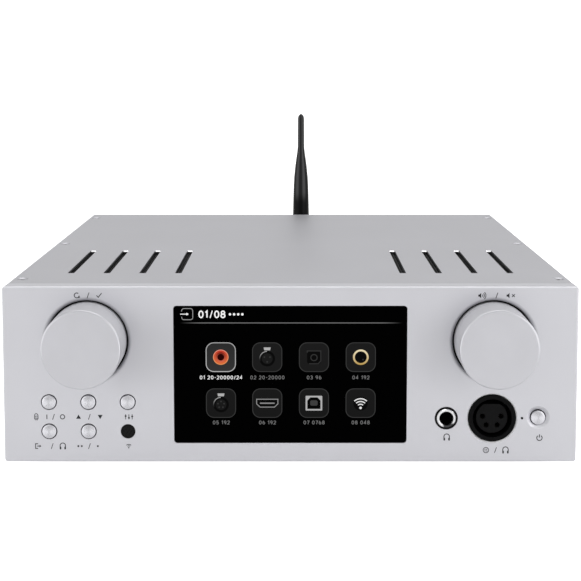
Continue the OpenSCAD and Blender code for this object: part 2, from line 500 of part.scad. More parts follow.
module antenna_whip() color([0.05, 0.05, 0.05]) frame() translate([ant_x, ant_d, 0]) {
  difference() {
    union() {
      translate([-2.9, 0, ant_z]) rotate([0, 90, 0]) cylinder(h = 5.8, r = 4.6);
      translate([-2.9, -4.6, ant_z]) cube([5.8, 9.2, 10]);
    }
    translate([-4, 0, ant_z]) rotate([0, 90, 0]) cylinder(h = 8, r = 1.56);
  }
  rotate_extrude() polygon([[0, ant_z + 8], [4.6, ant_z + 8], [5.4, ant_z + 9.5], [5.85, ant_z + 14], [5.85, antenna_top - 73], [5.65, antenna_top - 64], [5.4, antenna_top - 55],
    [5, antenna_top - 46.5], [4.55, antenna_top - 42], [4.1, antenna_top - 37.5], [3.5, antenna_top - 33], [2.8, antenna_top - 28.5], [2.3, antenna_top - 24],
    [2.2, antenna_top - 3], [1.8, antenna_top - 1.4], [0.8, antenna_top - 0.3], [0, antenna_top]]);
}

front_panel();
top_cover();
bottom_plate();
left_side_rail();
right_side_rail();
rear_panel();
case_screws();
pan_head_screws();
front_brackets();
feet();
foot_pads();
display_glass();
display_module();
display_bracket();
scroll_knob();
scroll_shaft();
scroll_plunger();
volume_knob();
volume_shaft();
volume_plunger();
rotary_encoders();
encoder_nuts();
tube_button();
gain_button();
setup_button();
output_button();
balance_button();
power_button();
key_switches();
ir_window();
power_led();
headphone_jack();
headphone_jack_bush();
balanced_socket_shell();
balanced_socket_insert();
xlr_contacts();
control_boards();
main_board();
board_standoffs();
mains_transformer();
transformer_clamp();
vacuum_tubes();
tube_sockets();
heat_sinks();
capacitors();
mains_inlet();
mains_inlet_pins();
fuse_drawer();
power_rocker();
rca_jacks();
rca_insulators();
xlr_shells();
xlr_inserts();
usb_port();
hdmi_port();
optical_port();
antenna_connector();
antenna_base();
antenna_whip();
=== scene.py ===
import math

import bmesh
import bpy
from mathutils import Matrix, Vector


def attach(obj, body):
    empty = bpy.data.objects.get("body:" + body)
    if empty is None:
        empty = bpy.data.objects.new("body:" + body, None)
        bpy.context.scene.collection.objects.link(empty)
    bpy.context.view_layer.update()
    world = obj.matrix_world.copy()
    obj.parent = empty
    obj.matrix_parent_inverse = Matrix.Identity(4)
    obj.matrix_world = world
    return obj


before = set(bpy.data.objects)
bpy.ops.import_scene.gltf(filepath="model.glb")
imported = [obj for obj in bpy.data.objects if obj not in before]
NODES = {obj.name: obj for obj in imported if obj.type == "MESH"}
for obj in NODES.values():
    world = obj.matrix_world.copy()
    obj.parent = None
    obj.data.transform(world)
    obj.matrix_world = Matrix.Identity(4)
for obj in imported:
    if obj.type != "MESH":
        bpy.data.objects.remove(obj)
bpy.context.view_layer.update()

MM = 0.001

# ---------------------------------------------------------------- places, in mm (the same numbers as the solids)
FRONT_Y = -135.0          # front face of the panel
GLASS_Y = -134.5          # front face of the display glass
REAR_Y = 129.0            # rear face of the case
MID_Z = 52.5
KNOB_X, KNOB_Z = 101.0, 69.4
COLS = (-120.35, -100.7, -81.05)
ROW1, ROW2 = 38.6, 23.7
SOCKET_Z = 30.4
POWER = (123.6, 30.7)
JACK_X, BAL_X = 77.8, 100.7
BUTTONS = [(COLS[0], ROW1), (COLS[1], ROW1), (COLS[2], ROW1), (COLS[0], ROW2), (COLS[1], ROW2), POWER]


# ---------------------------------------------------------------- flat raised shapes
class Relief:
    """Thin closed prisms on a plane that faces the front (-Y), the rear (+Y) or up (+Z). u runs to the right and v up as the reader sees them, in mm."""

    def __init__(self, base, height, facing="front"):
        self.bm = bmesh.new()
        self.base, self.height, self.facing = base, height, facing

    def _v(self, u, v, top):
        d = self.height if top else 0.0
        if self.facing == "front":
            p = (u, self.base - d, v)
        elif self.facing == "rear":
            p = (-u, self.base + d, v)
        else:
            p = (u, v, self.base + d)
        return self.bm.verts.new([c * MM for c in p])

    def poly(self, pts):
        a = sum(p[0] * q[1] - q[0] * p[1] for p, q in zip(pts, pts[1:] + pts[:1]))
        if a < 0:
            pts = pts[::-1]
        top = [self._v(u, v, True) for u, v in pts]
        low = [self._v(u, v, False) for u, v in pts]
        self.bm.faces.new(top)
        self.bm.faces.new(low[::-1])
        n = len(pts)
        for i in range(n):
            j = (i + 1) % n
            self.bm.faces.new((low[i], low[j], top[j], top[i]))

    def band(self, left, right, closed):
        """A strip between two rows of points, such as the two sides of a stroke."""
        rows = []
        for l, r in zip(left, right):
            rows.append((self._v(*l, True), self._v(*r, True), self._v(*l, False), self._v(*r, False)))
        n = len(rows)
        for i in range(n if closed else n - 1):
            a, b = rows[i], rows[(i + 1) % n]
            self.bm.faces.new((a[0], a[1], b[1], b[0]))
            self.bm.faces.new((a[2], b[2], b[3], a[3]))
            self.bm.faces.new((a[0], b[0], b[2], a[2]))
            self.bm.faces.new((a[1], a[3], b[3], b[1]))
        if not closed:
            a, b = rows[0], rows[-1]
            self.bm.faces.new((a[0], a[2], a[3], a[1]))
            self.bm.faces.new((b[0], b[1], b[3], b[2]))

    def line(self, pts, w, closed=False):
        """A stroke of width w along points, with mitred corners."""
        pts = [Vector(p) for p in pts]
        n = len(pts)
        left, right = [], []
        for i, p in enumerate(pts):
            before = pts[i - 1] if (closed or i > 0) else None
            after = pts[(i + 1) % n] if (closed or i < n - 1) else None
            d0 = (p - before).normalized() if before is not None else None
            d1 = (after - p).normalized() if after is not None else None
            d0 = d0 or d1
            d1 = d1 or d0
            n0, n1 = Vector((-d0.y, d0.x)), Vector((-d1.y, d1.x))
            m = n0 + n1
            m = m.normalized() if m.length > 1e-6 else n0
            k = 0.5 * w / max(0.35, m.dot(n0))
            left.append(tuple(p + m * k))
            right.append(tuple(p - m * k))
        self.band(left, right, closed)

    def disc(self, u, v, r, n=40):
        self.poly([(u + r * math.cos(t), v + r * math.sin(t)) for t in (2 * math.pi * i / n for i in range(n))])

    def ring(self, u, v, ro, ri, n=56):
        ts = [2 * math.pi * i / n for i in range(n)]
        self.band([(u + ro * math.cos(t), v + ro * math.sin(t)) for t in ts], [(u + ri * math.cos(t), v + ri * math.sin(t)) for t in ts], True)

    def arc(self, u, v, r, w, a0, a1, n=20):
        self.line(arc_pts(u, v, r, a0, a1, n), w)

    def rrect(self, u, v, w, h, r):
        self.poly(rrect_pts(u, v, w, h, r))

    def rframe(self, u, v, w, h, r, s):
        """The outline of a rounded box, s wide, centred on the box's edge."""
        o = rrect_pts(u, v, w + s, h + s, r + s / 2)
        i = rrect_pts(u, v, w - s, h - s, max(r - s / 2, 0.02))
        self.band(o, i, True)

    def digits(self, text, u, v, h, w, gap=0.24, align=0.0):
        """Plain stroke digits, h high and w wide in the stroke, starting at u or aligned about it."""
        total = sum(GLYPHS[c][0] for c in text) * h + gap * h * (len(text) - 1)
        x = u - total * align
        for c in text:
            wide, strokes = GLYPHS[c]
            for pts, closed in strokes:
                self.line([(x + (w / 2) + p * (h - w * 0.6), v - h / 2 + w / 2 + q * (h - w)) for p, q in pts], w, closed)
            x += wide * h + gap * h
        return x

    def finish(self, name, material, body="case", slot=None):
        bmesh.ops.recalc_face_normals(self.bm, faces=self.bm.faces)
        me = bpy.data.meshes.new(name)
        self.bm.to_mesh(me)
        self.bm.free()
        return add_piece(name, me, material, body)


def add_piece(name, me, material, body):
    o = bpy.data.objects.new(name, me)
    bpy.context.scene.collection.objects.link(o)
    me.materials.append(getattr(material, "m", material))
    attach(o, body)
    return o


def arc_pts(u, v, r, a0, a1, n=20, ry=None):
    ry = r if ry is None else ry
    return [(u + r * math.cos(math.radians(a0 + (a1 - a0) * i / n)), v + ry * math.sin(math.radians(a0 + (a1 - a0) * i / n))) for i in range(n + 1)]


def rrect_pts(u, v, w, h, r, n=8):
    out = []
    for cx, cy, a in ((1, 1, 0), (-1, 1, 90), (-1, -1, 180), (1, -1, 270)):
        out += arc_pts(u + cx * (w / 2 - r), v + cy * (h / 2 - r), r, a, a + 90, n)
    return out


# stroke digits on a box one high: (width, [(points, closed)])
GLYPHS = {
    "0": (0.60, [(arc_pts(0.28, 0.5, 0.28, 90, 450, 24, 0.5)[:-1], True)]),
    "1": (0.34, [([(0.02, 0.78), (0.24, 1.0), (0.24, 0.0)], False)]),
    "2": (0.56, [(arc_pts(0.27, 0.72, 0.26, 165, -30, 10, 0.28) + [(0.02, 0.0), (0.54, 0.0)], False)]),
    "3": (0.56, [(arc_pts(0.25, 0.76, 0.24, 150, -80, 9, 0.24) + arc_pts(0.25, 0.27, 0.28, 80, -150, 10, 0.27), False)]),
    "4": (0.60, [([(0.42, 0.0), (0.42, 1.0), (0.0, 0.28), (0.58, 0.28)], False)]),
    "5": (0.56, [([(0.5, 1.0), (0.1, 1.0), (0.06, 0.56)] + arc_pts(0.25, 0.32, 0.28, 120, -145, 11, 0.32), False)]),
    "6": (0.58, [(arc_pts(0.28, 0.3, 0.26, 180, 540, 18, 0.3)[:-1], True), (arc_pts(0.5, 0.36, 0.48, 180, 112, 7, 0.66), False)]),
    "7": (0.54, [([(0.0, 1.0), (0.52, 1.0), (0.18, 0.0)], False)]),
    "8": (0.58, [(arc_pts(0.27, 0.76, 0.22, 90, 450, 16, 0.24)[:-1], True), (arc_pts(0.27, 0.27, 0.27, 90, 450, 18, 0.27)[:-1], True)]),
    "9": (0.58, [(arc_pts(0.28, 0.7, 0.26, 0, 360, 18, 0.3)[:-1], True), (arc_pts(0.06, 0.64, 0.48, 0, -68, 7, 0.66), False)]),
    "/": (0.36, [([(0.0, -0.05), (0.32, 1.05)], False)]),
    "-": (0.36, [([(0.02, 0.48), (0.32, 0.48)], False)]),
    ".": (0.14, [([(0.02, -0.06), (0.02, 0.06)], False)]),
    " ": (0.22, []),
}


# ---------------------------------------------------------------- small pictograms, centred, s high
def g_headphones(R, u, v, s, w):
    r = 0.40 * s
    R.line([(u + r, v - 0.2 * s)] + arc_pts(u, v + 0.08 * s, r, 0, 180, 20) + [(u - r, v - 0.2 * s)], w)
    for k in (-1, 1):
        R.rrect(u + k * 0.35 * s, v - 0.30 * s, 0.24 * s, 0.44 * s, 0.1 * s)


def g_turn(R, u, v, s, w):
    R.arc(u, v, 0.42 * s, w, 50, 320, 22)
    e = arc_pts(u, v, 0.42 * s, 320, 320, 1)[0]
    R.poly([(e[0] + 0.24 * s, e[1] - 0.12 * s), (e[0] - 0.22 * s, e[1] - 0.20 * s), (e[0] + 0.10 * s, e[1] + 0.30 * s)])


def g_check(R, u, v, s, w):
    R.line([(u - 0.42 * s, v + 0.0 * s), (u - 0.12 * s, v - 0.34 * s), (u + 0.44 * s, v + 0.38 * s)], w)


def g_slash(R, u, v, s, w):
    R.line([(u - 0.17 * s, v - 0.5 * s), (u + 0.17 * s, v + 0.5 * s)], w * 0.8)


def g_speaker(R, u, v, s, w):
    R.poly([(u - 0.34 * s, v - 0.17 * s), (u - 0.14 * s, v - 0.17 * s), (u + 0.16 * s, v - 0.46 * s), (u + 0.16 * s, v + 0.46 * s), (u - 0.14 * s, v + 0.17 * s), (u - 0.34 * s, v + 0.17 * s)])


def g_waves(R, u, v, s, w, n=2):
    for i in range(n):
        R.arc(u, v, (0.24 + 0.26 * i) * s, w, -48, 48, 10)


def g_cross(R, u, v, s, w):
    k = 0.24 * s
    R.line([(u - k, v - k), (u + k, v + k)], w)
    R.line([(u - k, v + k), (u + k, v - k)], w)


def g_tube(R, u, v, s, w):
    """A glass tube seen from the side: domed bulb, two plates and pins."""
    pts = [(u - 0.27 * s, v - 0.30 * s)] + arc_pts(u, v + 0.14 * s, 0.27 * s, 180, 0, 14, 0.36 * s) + [(u + 0.27 * s, v - 0.30 * s)]
    R.line(pts, w, True)
    for k in (-0.1, 0.1):
        R.line([(u + k * s, v - 0.14 * s), (u + k * s, v + 0.2 * s)], w * 0.8)
    for k in (-0.18, 0.0, 0.18):
        R.line([(u + k * s, v - 0.36 * s), (u + k * s, v - 0.54 * s)], w * 0.8)


def g_triangle(R, u, v, s, up=1):
    R.poly([(u - 0.42 * s, v - 0.34 * s * up), (u + 0.42 * s, v - 0.34 * s * up), (u, v + 0.40 * s * up)])


def g_sliders(R, u, v, s, w):
    for k, at in ((-0.6, 0.14), (0.0, -0.2), (0.6, 0.06)):
        R.line([(u + k * s, v - 0.48 * s), (u + k * s, v + 0.48 * s)], w * 0.8)
        R.rrect(u + k * s, v + at * s, 0.36 * s, 0.24 * s, 0.06 * s)


def g_arrow_out(R, u, v, s, w):
    R.line([(u + 0.02 * s, v + 0.44 * s), (u - 0.44 * s, v + 0.44 * s), (u - 0.44 * s, v - 0.44 * s), (u + 0.02 * s, v - 0.44 * s)], w)
    R.line([(u - 0.16 * s, v), (u + 0.36 * s, v)], w)
    R.poly([(u + 0.30 * s, v - 0.26 * s), (u + 0.62 * s, v), (u + 0.30 * s, v + 0.26 * s)])


def g_arrow_in(R, u, v, s, w):
    R.line([(u + 0.02 * s, v + 0.44 * s), (u + 0.48 * s, v + 0.44 * s), (u + 0.48 * s, v - 0.44 * s), (u + 0.02 * s, v - 0.44 * s)], w)
    R.line([(u - 0.60 * s, v), (u - 0.08 * s, v)], w)
    R.poly([(u - 0.12 * s, v - 0.26 * s), (u + 0.20 * s, v), (u - 0.12 * s, v + 0.26 * s)])


def g_dots(R, u, v, s, n):
    spots = {1: [(0, 0)], 2: [(-0.27, 0), (0.27, 0)], 4: [(-0.24, -0.24), (0.24, -0.24), (-0.24, 0.24), (0.24, 0.24)]}[n]
    for a, b in spots:
        R.disc(u + a * s, v + b * s, 0.15 * s, 20)


def g_standby(R, u, v, s, w):
    R.arc(u, v - 0.04 * s, 0.42 * s, w, 125, 415, 24)
    R.line([(u, v + 0.02 * s), (u, v + 0.52 * s)], w)


# ---------------------------------------------------------------- materials
class Mat:
    """A Principled material built from procedural nodes on the piece's own coordinates, which are metres in the part's frame."""

    def __init__(self, name, **sockets):
        self.m = bpy.data.materials.new(name)
        self.m.use_nodes = True
        self.t = self.m.node_tree
        self.t.nodes.clear()
        out = self.n("ShaderNodeOutputMaterial")
        self.b = self.n("ShaderNodeBsdfPrincipled")
        self.l(self.b.outputs[0], out.inputs[0])
        self.co = self.n("ShaderNodeTexCoord").outputs["Object"]
        for k, v in sockets.items():
            self.put(k, v)

    def put(self, key, value):
        names = {
            "color": "Base Color", "rough": "Roughness", "metal": "Metallic", "spec": "Specular IOR Level", "ior": "IOR", "coat": "Coat Weight", "coat_rough": "Coat Roughness",
            "aniso": "Anisotropic", "trans": "Transmission Weight", "glow": "Emission Color", "glow_strength": "Emission Strength", "sheen": "Sheen Weight",
        }
        s = self.b.inputs[names.get(key, key)]
        if hasattr(value, "is_output"):
            self.l(value, s)
        elif isinstance(value, (tuple, list)):
            s.default_value = (*value[:3], 1.0)
        else:
            s.default_value = value

    def n(self, kind, **props):
        x = self.t.nodes.new(kind)
        for k, v in props.items():
            setattr(x, k, v)
        return x

    def l(self, a, b):
        self.t.links.new(a, b)

    def noise(self, scale, detail=2.0, rough=0.55, co=None, stretch=None):
        v = co or self.co
        if stretch:
            mp = self.n("ShaderNodeMapping")
            mp.inputs["Scale"].default_value = stretch
            self.l(v, mp.inputs["Vector"])
            v = mp.outputs["Vector"]
        x = self.n("ShaderNodeTexNoise")
        x.inputs["Scale"].default_value = scale
        x.inputs["Detail"].default_value = detail
        x.inputs["Roughness"].default_value = rough
        self.l(v, x.inputs["Vector"])
        return x.outputs["Fac"]

    def rng(self, v, a0, a1, b0, b1, smooth=False):
        x = self.n("ShaderNodeMapRange")
        if smooth:
            x.interpolation_type = "SMOOTHSTEP"
        for i, q in enumerate((a0, a1, b0, b1)):
            x.inputs[i + 1].default_value = q
        self.l(v, x.inputs[0])
        return x.outputs[0]

    def math(self, op, a, b=None):
        x = self.n("ShaderNodeMath", operation=op)
        for i, q in enumerate((a, b)):
            if q is None:
                continue
            if hasattr(q, "is_output"):
                self.l(q, x.inputs[i])
            else:
                x.inputs[i].default_value = q
        return x.outputs[0]

    def mix(self, fac, a, b):
        x = self.n("ShaderNodeMix", data_type="RGBA")
        for i, q in ((0, fac), (6, a), (7, b)):
            if hasattr(q, "is_output"):
                self.l(q, x.inputs[i])
            elif i == 0:
                x.inputs[0].default_value = q
            else:
                x.inputs[i].default_value = (*q[:3], 1.0)
        return x.outputs[2]

    def xyz(self, at=None):
        v = self.co
        if at:
            s = self.n("ShaderNodeVectorMath", operation="SUBTRACT")
            s.inputs[1].default_value = [c * MM for c in at]
            self.l(v, s.inputs[0])
            v = s.outputs[0]
        x = self.n("ShaderNodeSeparateXYZ")
        self.l(v, x.inputs[0])
        return x.outputs[0], x.outputs[1], x.outputs[2]

    def bump(self, height, dist_mm, strength=1.0):
        x = self.n("ShaderNodeBump")
        x.inputs["Strength"].default_value = strength
        x.inputs["Distance"].default_value = dist_mm * MM
        self.l(height, x.inputs["Height"])
        self.l(x.outputs[0], self.b.inputs["Normal"])


def tone(c, k):
    return tuple(max(0.0, min(1.0, x * k)) for x in c)


def metal(name, color, rough, grain=4200.0, bump=0.012, spread=0.05, mottle=0.03):
    """Blasted and anodised metal: a fine grain in roughness and height, and a faint cloudiness."""
    m = Mat(name, metal=1.0)
    fine = m.noise(grain, 2.0, 0.6)
    cloud = m.noise(26.0, 3.0, 0.5)
    m.put("color", m.mix(m.rng(m.math("ADD", m.math("MULTIPLY", fine, 0.45), m.math("MULTIPLY", cloud, 0.55)), 0.3, 0.7, 0.0, 1.0), tone(color, 1 - mottle), tone(color, 1 + mottle)))
    m.put("rough", m.rng(m.math("ADD", m.math("MULTIPLY", fine, 0.6), m.math("MULTIPLY", cloud, 0.4)), 0.3, 0.7, rough - spread, rough + spread))
    m.bump(fine, bump, 0.35)
    return m


def steel(name, color, rough, along=(1.0, 60.0, 60.0), scale=120.0, spread=0.08):
    """Plated or brushed steel with faint lines along one direction."""
    m = Mat(name, metal=1.0)
    lines = m.noise(scale, 3.0, 0.6, stretch=along)
    spots = m.noise(900.0, 2.0, 0.5)
    m.put("color", m.mix(lines, tone(color, 0.9), tone(color, 1.08)))
    m.put("rough", m.rng(m.math("ADD", m.math("MULTIPLY", lines, 0.6), m.math("MULTIPLY", spots, 0.4)), 0.3, 0.7, rough - spread, rough + spread))
    m.bump(lines, 0.006, 0.4)
    return m


def plastic(name, color, rough, grain=2600.0, bump=0.02, spread=0.06, spec=0.4, coat=0.0):
    """Moulded plastic or rubber with a spark-eroded grain and a little unevenness in gloss."""
    m = Mat(name, spec=spec, coat=coat, coat_rough=0.15)
    fine = m.noise(grain, 3.0, 0.6)
    cloud = m.noise(70.0, 3.0, 0.5)
    m.put("color", m.mix(m.rng(cloud, 0.3, 0.7, 0.0, 1.0), tone(color, 0.86), tone(color, 1.14)))
    m.put("rough", m.rng(m.math("ADD", m.math("MULTIPLY", fine, 0.5), m.math("MULTIPLY", cloud, 0.5)), 0.3, 0.7, rough - spread, rough + spread))
    m.bump(fine, bump, 0.5)
    return m


def plated(name, color, rough, spread=0.05):
    """Turned and plated metal: fine wavering lines and small spots of wear."""
    m = Mat(name, metal=1.0)
    spots = m.noise(1500.0, 3.0, 0.6)
    cloud = m.noise(220.0, 2.0, 0.5)
    m.put("color", m.mix(m.rng(cloud, 0.35, 0.65, 0.0, 1.0), tone(color, 0.9), tone(color, 1.06)))
    m.put("rough", m.rng(spots, 0.3, 0.7, rough - spread, rough + spread))
    m.bump(spots, 0.004, 0.3)
    return m


def printed(name, color, rough=0.55):
    """Screen-printed ink: slightly uneven cover."""
    m = Mat(name, spec=0.25)
    ink = m.noise(2400.0, 3.0, 0.6)
    m.put("color", m.mix(m.rng(ink, 0.3, 0.7, 0.0, 1.0), tone(color, 0.8), tone(color, 1.25)))
    m.put("rough", m.rng(ink, 0.3, 0.7, rough - 0.08, rough + 0.08))
    m.bump(ink, 0.006, 0.4)
    return m


def lit(name, color, strength, low=None, z0=0.0, z1=1.0, axis=2):
    """A lit part of the screen. The colour runs from low to color between two heights, with a fine pixel grid."""
    m = Mat(name, spec=0.004, rough=0.25)
    x, y, z = m.xyz()
    grid = m.n("ShaderNodeTexChecker")
    grid.inputs["Scale"].default_value = 9000.0
    grid.inputs["Color1"].default_value = (0.97, 0.97, 0.97, 1)
    grid.inputs["Color2"].default_value = (1.0, 1.0, 1.0, 1)
    m.l(m.co, grid.inputs["Vector"])
    c = m.mix(m.rng((x, y, z)[axis], z0 * MM, z1 * MM, 0.0, 1.0), low or tone(color, 0.96), color)
    k = m.n("ShaderNodeMix", data_type="RGBA", blend_type="MULTIPLY")
    k.inputs[0].default_value = 1.0
    m.l(c, k.inputs[6])
    m.l(grid.outputs[0], k.inputs[7])
    m.put("color", (0.0, 0.0, 0.0))
    m.put("glow", k.outputs[2])
    m.put("glow_strength", strength)
    return m


def srgb(*v):
    return tuple((c / 255 / 12.92) if c / 255 <= 0.04045 else ((c / 255 + 0.055) / 1.055) ** 2.4 for c in v)


def panel_metal(color, rough):
    """The panel's metal, with painted light in its colour: the walls and floors of the knob recesses and button holes
    darkened almost to black as painted shade, a painted shade ring round each knob recess, a soft painted shadow beside
    each knob, painted shading in the power button's dish, and a bare chamfer round the balanced socket's hole made
    almost white as a painted highlight.
    """
    m = metal("panel_aluminium", color, rough)
    dark = None
    # Painted shade: the walls and floors of the knob recesses and button holes go almost black, the button holes less
    # so toward the bottom.
    for x, z, r, d in [(k * KNOB_X, KNOB_Z, 20.36, 2.1) for k in (-1, 1)] + [(x, z, 4.05, 0.32) for x, z in BUTTONS]:
        a, b, c = m.xyz((x, FRONT_Y + d, z))
        far = m.math("SQRT", m.math("ADD", m.math("MULTIPLY", a, a), m.math("MULTIPLY", c, c)))
        one = m.math("MULTIPLY", m.rng(far, (r + 0.02) * MM, r * MM, 0.0, 1.0), m.rng(b, 0.0, 0.05 * MM, 0.0, 1.0))
        if r < 5.0:
            one = m.math("MULTIPLY", one, m.rng(c, -4.0 * MM, 3.0 * MM, 0.45, 1.0))
        dark = one if dark is None else m.math("MAXIMUM", dark, one)
    recess_shade_tone = m.rng(m.noise(1800.0, 2.0, 0.5), 0.3, 0.7, 0.006, 0.012)
    # Painted shade: a darker ring round each knob recess, fading out from 20.4 mm to 22.5 mm from the knob's axis.
    rim_shade = None
    for k in (-1, 1):
        a, b, c = m.xyz((k * KNOB_X, FRONT_Y, KNOB_Z))
        far = m.math("SQRT", m.math("ADD", m.math("MULTIPLY", a, a), m.math("MULTIPLY", c, c)))
        one = m.rng(far, 22.5 * MM, 20.4 * MM, 0.0, 1.0)
        rim_shade = one if rim_shade is None else m.math("MAXIMUM", rim_shade, one)
    old = m.b.inputs["Base Color"].links[0].from_socket
    # Painted shadow: a soft darker patch between each knob and the display, at about the knobs' height, to 0.86 of the
    # panel's tone.
    a, b, c = m.xyz((0.0, FRONT_Y, 65.0))
    left = m.math("MULTIPLY", m.rng(a, -30.0 * MM, -40.0 * MM, 0.0, 1.0), m.rng(a, -62.0 * MM, -78.0 * MM, 0.8, 1.0))
    right = m.math("MULTIPLY", m.rng(a, 30.0 * MM, 40.0 * MM, 0.0, 1.0), m.rng(a, 60.0 * MM, 72.0 * MM, 0.35, 0.75))
    soft = m.math("MULTIPLY", m.math("ADD", left, right), m.rng(m.math("ABSOLUTE", c), 4.0 * MM, 28.0 * MM, 1.0, 0.0, True))
    soft = m.math("MULTIPLY", soft, m.rng(m.math("ABSOLUTE", a), 94.0 * MM, 84.0 * MM, 0.0, 1.0))
    old = m.mix(soft, old, tone(color, 0.86))
    old = m.mix(rim_shade, old, tone(color, 0.46))
    # The chamfer round the balanced socket's hole: bare cut metal, made almost white and mostly not metallic as a
    # painted highlight.
    a, b, c = m.xyz((BAL_X, FRONT_Y + 0.02, SOCKET_Z))
    far = m.math("SQRT", m.math("ADD", m.math("MULTIPLY", a, a), m.math("MULTIPLY", c, c)))
    bare = m.math("MULTIPLY", m.rng(far, 12.9 * MM, 12.8 * MM, 0.0, 1.0), m.rng(b, 0.0, 0.04 * MM, 0.0, 1.0))
    old = m.mix(bare, old, (0.96, 0.96, 0.97))
    # Painted shading in the power button's dish: lighter toward the lower left, darker toward the upper right, and
    # darker still on its upper lip.
    a, b, c = m.xyz((POWER[0], FRONT_Y + 0.03, POWER[1]))
    far = m.math("SQRT", m.math("ADD", m.math("MULTIPLY", a, a), m.math("MULTIPLY", c, c)))
    dish = m.math("MULTIPLY", m.rng(far, 5.95 * MM, 5.85 * MM, 0.0, 1.0), m.rng(b, 0.0, 0.03 * MM, 0.0, 1.0))
    shade = m.mix(m.rng(m.math("ADD", a, c), -5.0 * MM, 6.0 * MM, 0.0, 1.0, True), tone(color, 1.1), tone(color, 0.85))
    lip = m.math("MULTIPLY", m.rng(far, 5.2 * MM, 5.8 * MM, 0.0, 1.0), m.rng(c, 1.5 * MM, 5.0 * MM, 0.0, 1.0))
    old = m.mix(dish, old, m.mix(lip, shade, tone(color, 0.76)))
    # The painted shade of the recesses and holes goes on last, and there the metal is not metallic.
    m.put("color", m.mix(dark, old, recess_shade_tone))
    m.put("metal", m.math("MULTIPLY", m.rng(dark, 0.0, 1.0, 1.0, 0.0), m.rng(bare, 0.0, 1.0, 1.0, 0.15)))
    old = m.b.inputs["Roughness"].links[0].from_socket
    m.put("rough", m.math("MAXIMUM", old, m.math("MULTIPLY", dark, 0.8)))
    m.put("spec", 0.15)
    return m


def case_metal(color, rough):
    """The case's metal, with painted shade in the vent slots: their long walls are darkened to 0.3 of the case's tone
    and their far ends to 0.6.
    """
    m = metal("case_aluminium", color, rough, grain=3800.0)
    x, y, z = m.xyz()
    wide = m.math("ABSOLUTE", x)
    slots = m.math("MULTIPLY", m.rng(wide, 56.0 * MM, 56.1 * MM, 0.0, 1.0), m.rng(wide, 118.1 * MM, 118.0 * MM, 0.0, 1.0))
    slots = m.math("MULTIPLY", slots, m.rng(z, 96.88 * MM, 96.78 * MM, 0.0, 1.0))
    slots = m.math("MULTIPLY", slots, m.rng(y, -99.7 * MM, -99.6 * MM, 0.0, 1.0))
    # Painted shade on the long walls of the slots.
    walls = m.math("MULTIPLY", slots, m.rng(y, -27.5 * MM, -27.7 * MM, 0.0, 1.0))
    # Painted shade at the far ends of the slots, lighter than on the long walls.
    ends = m.math("MULTIPLY", slots, m.math("MULTIPLY", m.rng(y, -27.6 * MM, -27.4 * MM, 0.0, 1.0), m.rng(y, -26.4 * MM, -26.5 * MM, 0.0, 1.0)))
    old = m.b.inputs["Base Color"].links[0].from_socket
    old = m.mix(walls, old, tone(color, 0.3))
    m.put("color", m.mix(ends, old, tone(color, 0.6)))
    return m


def whip_rubber(color, rough):
    """The antenna's rubber, with painted light in its colour: two painted reflections run along the rod as lighter
    streaks, and painted shade takes its edges and foot down toward black.
    """
    m = plastic("antenna_rubber", color, rough, grain=2000.0, bump=0.02, spec=0.1)
    # Painted reflections: two lighter streaks along the rod, set by which way the surface faces.
    facing = m.n("ShaderNodeSeparateXYZ")
    m.l(m.n("ShaderNodeTexCoord").outputs["Normal"], facing.inputs[0])
    side = m.math("ABSOLUTE", m.math("ADD", facing.outputs[0], 0.06))
    sheen = m.math("MULTIPLY", m.rng(side, 0.1, 0.44, 0.0, 1.0, True), m.rng(side, 0.82, 0.5, 0.0, 1.0, True))
    # Painted shade: the rod's edges, and its foot below 112.5 mm, darken toward black.
    x, y, z = m.xyz()
    low = m.rng(z, 103.5 * MM, 112.5 * MM, 0.12, 1.0, True)
    lit = m.math("MULTIPLY", m.rng(side, 0.6, 0.9, 1.0, 0.05), low)
    old = m.b.inputs["Base Color"].links[0].from_socket
    old = m.mix(sheen, old, (0.07, 0.07, 0.071))
    m.put("color", m.mix(lit, (0.0006, 0.0006, 0.0007), old))
    return m


ALU = (0.655, 0.654, 0.685)
panel = panel_metal(ALU, 0.46)
case = case_metal(tone(ALU, 0.84), 0.56)
bottom = metal("bottom_steel", (0.48, 0.49, 0.5), 0.42, grain=1900.0, bump=0.02)
screw = plated("screw_steel", (0.5, 0.5, 0.51), 0.32)
bracket = steel("bracket_steel", (0.58, 0.58, 0.59), 0.36)
module = steel("module_steel", (0.42, 0.42, 0.43), 0.4)
shaft = steel("shaft_steel", (0.6, 0.6, 0.61), 0.28, along=(60.0, 1.0, 60.0))
foot = plastic("foot_plastic", (0.018, 0.018, 0.019), 0.5)
pad = plastic("pad_rubber", (0.011, 0.011, 0.011), 0.82, grain=3400.0, bump=0.03, spec=0.2)
plunger = plastic("plunger_plastic", (0.72, 0.68, 0.55), 0.4)
encoder = plastic("encoder_plastic", (0.06, 0.06, 0.065), 0.45)
inlet = plastic("inlet_plastic", (0.02, 0.02, 0.021), 0.42)
rocker = plastic("rocker_plastic", (0.012, 0.012, 0.013), 0.3, grain=1800.0, bump=0.01)
socket_black = plastic("socket_plastic", (0.0035, 0.0035, 0.0037), 0.5, bump=0.008, spec=0.09)
standoff = plastic("standoff_nylon", (0.74, 0.72, 0.66), 0.45)
ceramic = plastic("socket_ceramic", (0.74, 0.71, 0.64), 0.32, grain=1400.0, coat=0.4)
sink = metal("heat_sink_aluminium", (0.035, 0.035, 0.037), 0.48, grain=2200.0)
bush = plated("bush_nickel", (0.80, 0.80, 0.81), 0.2)
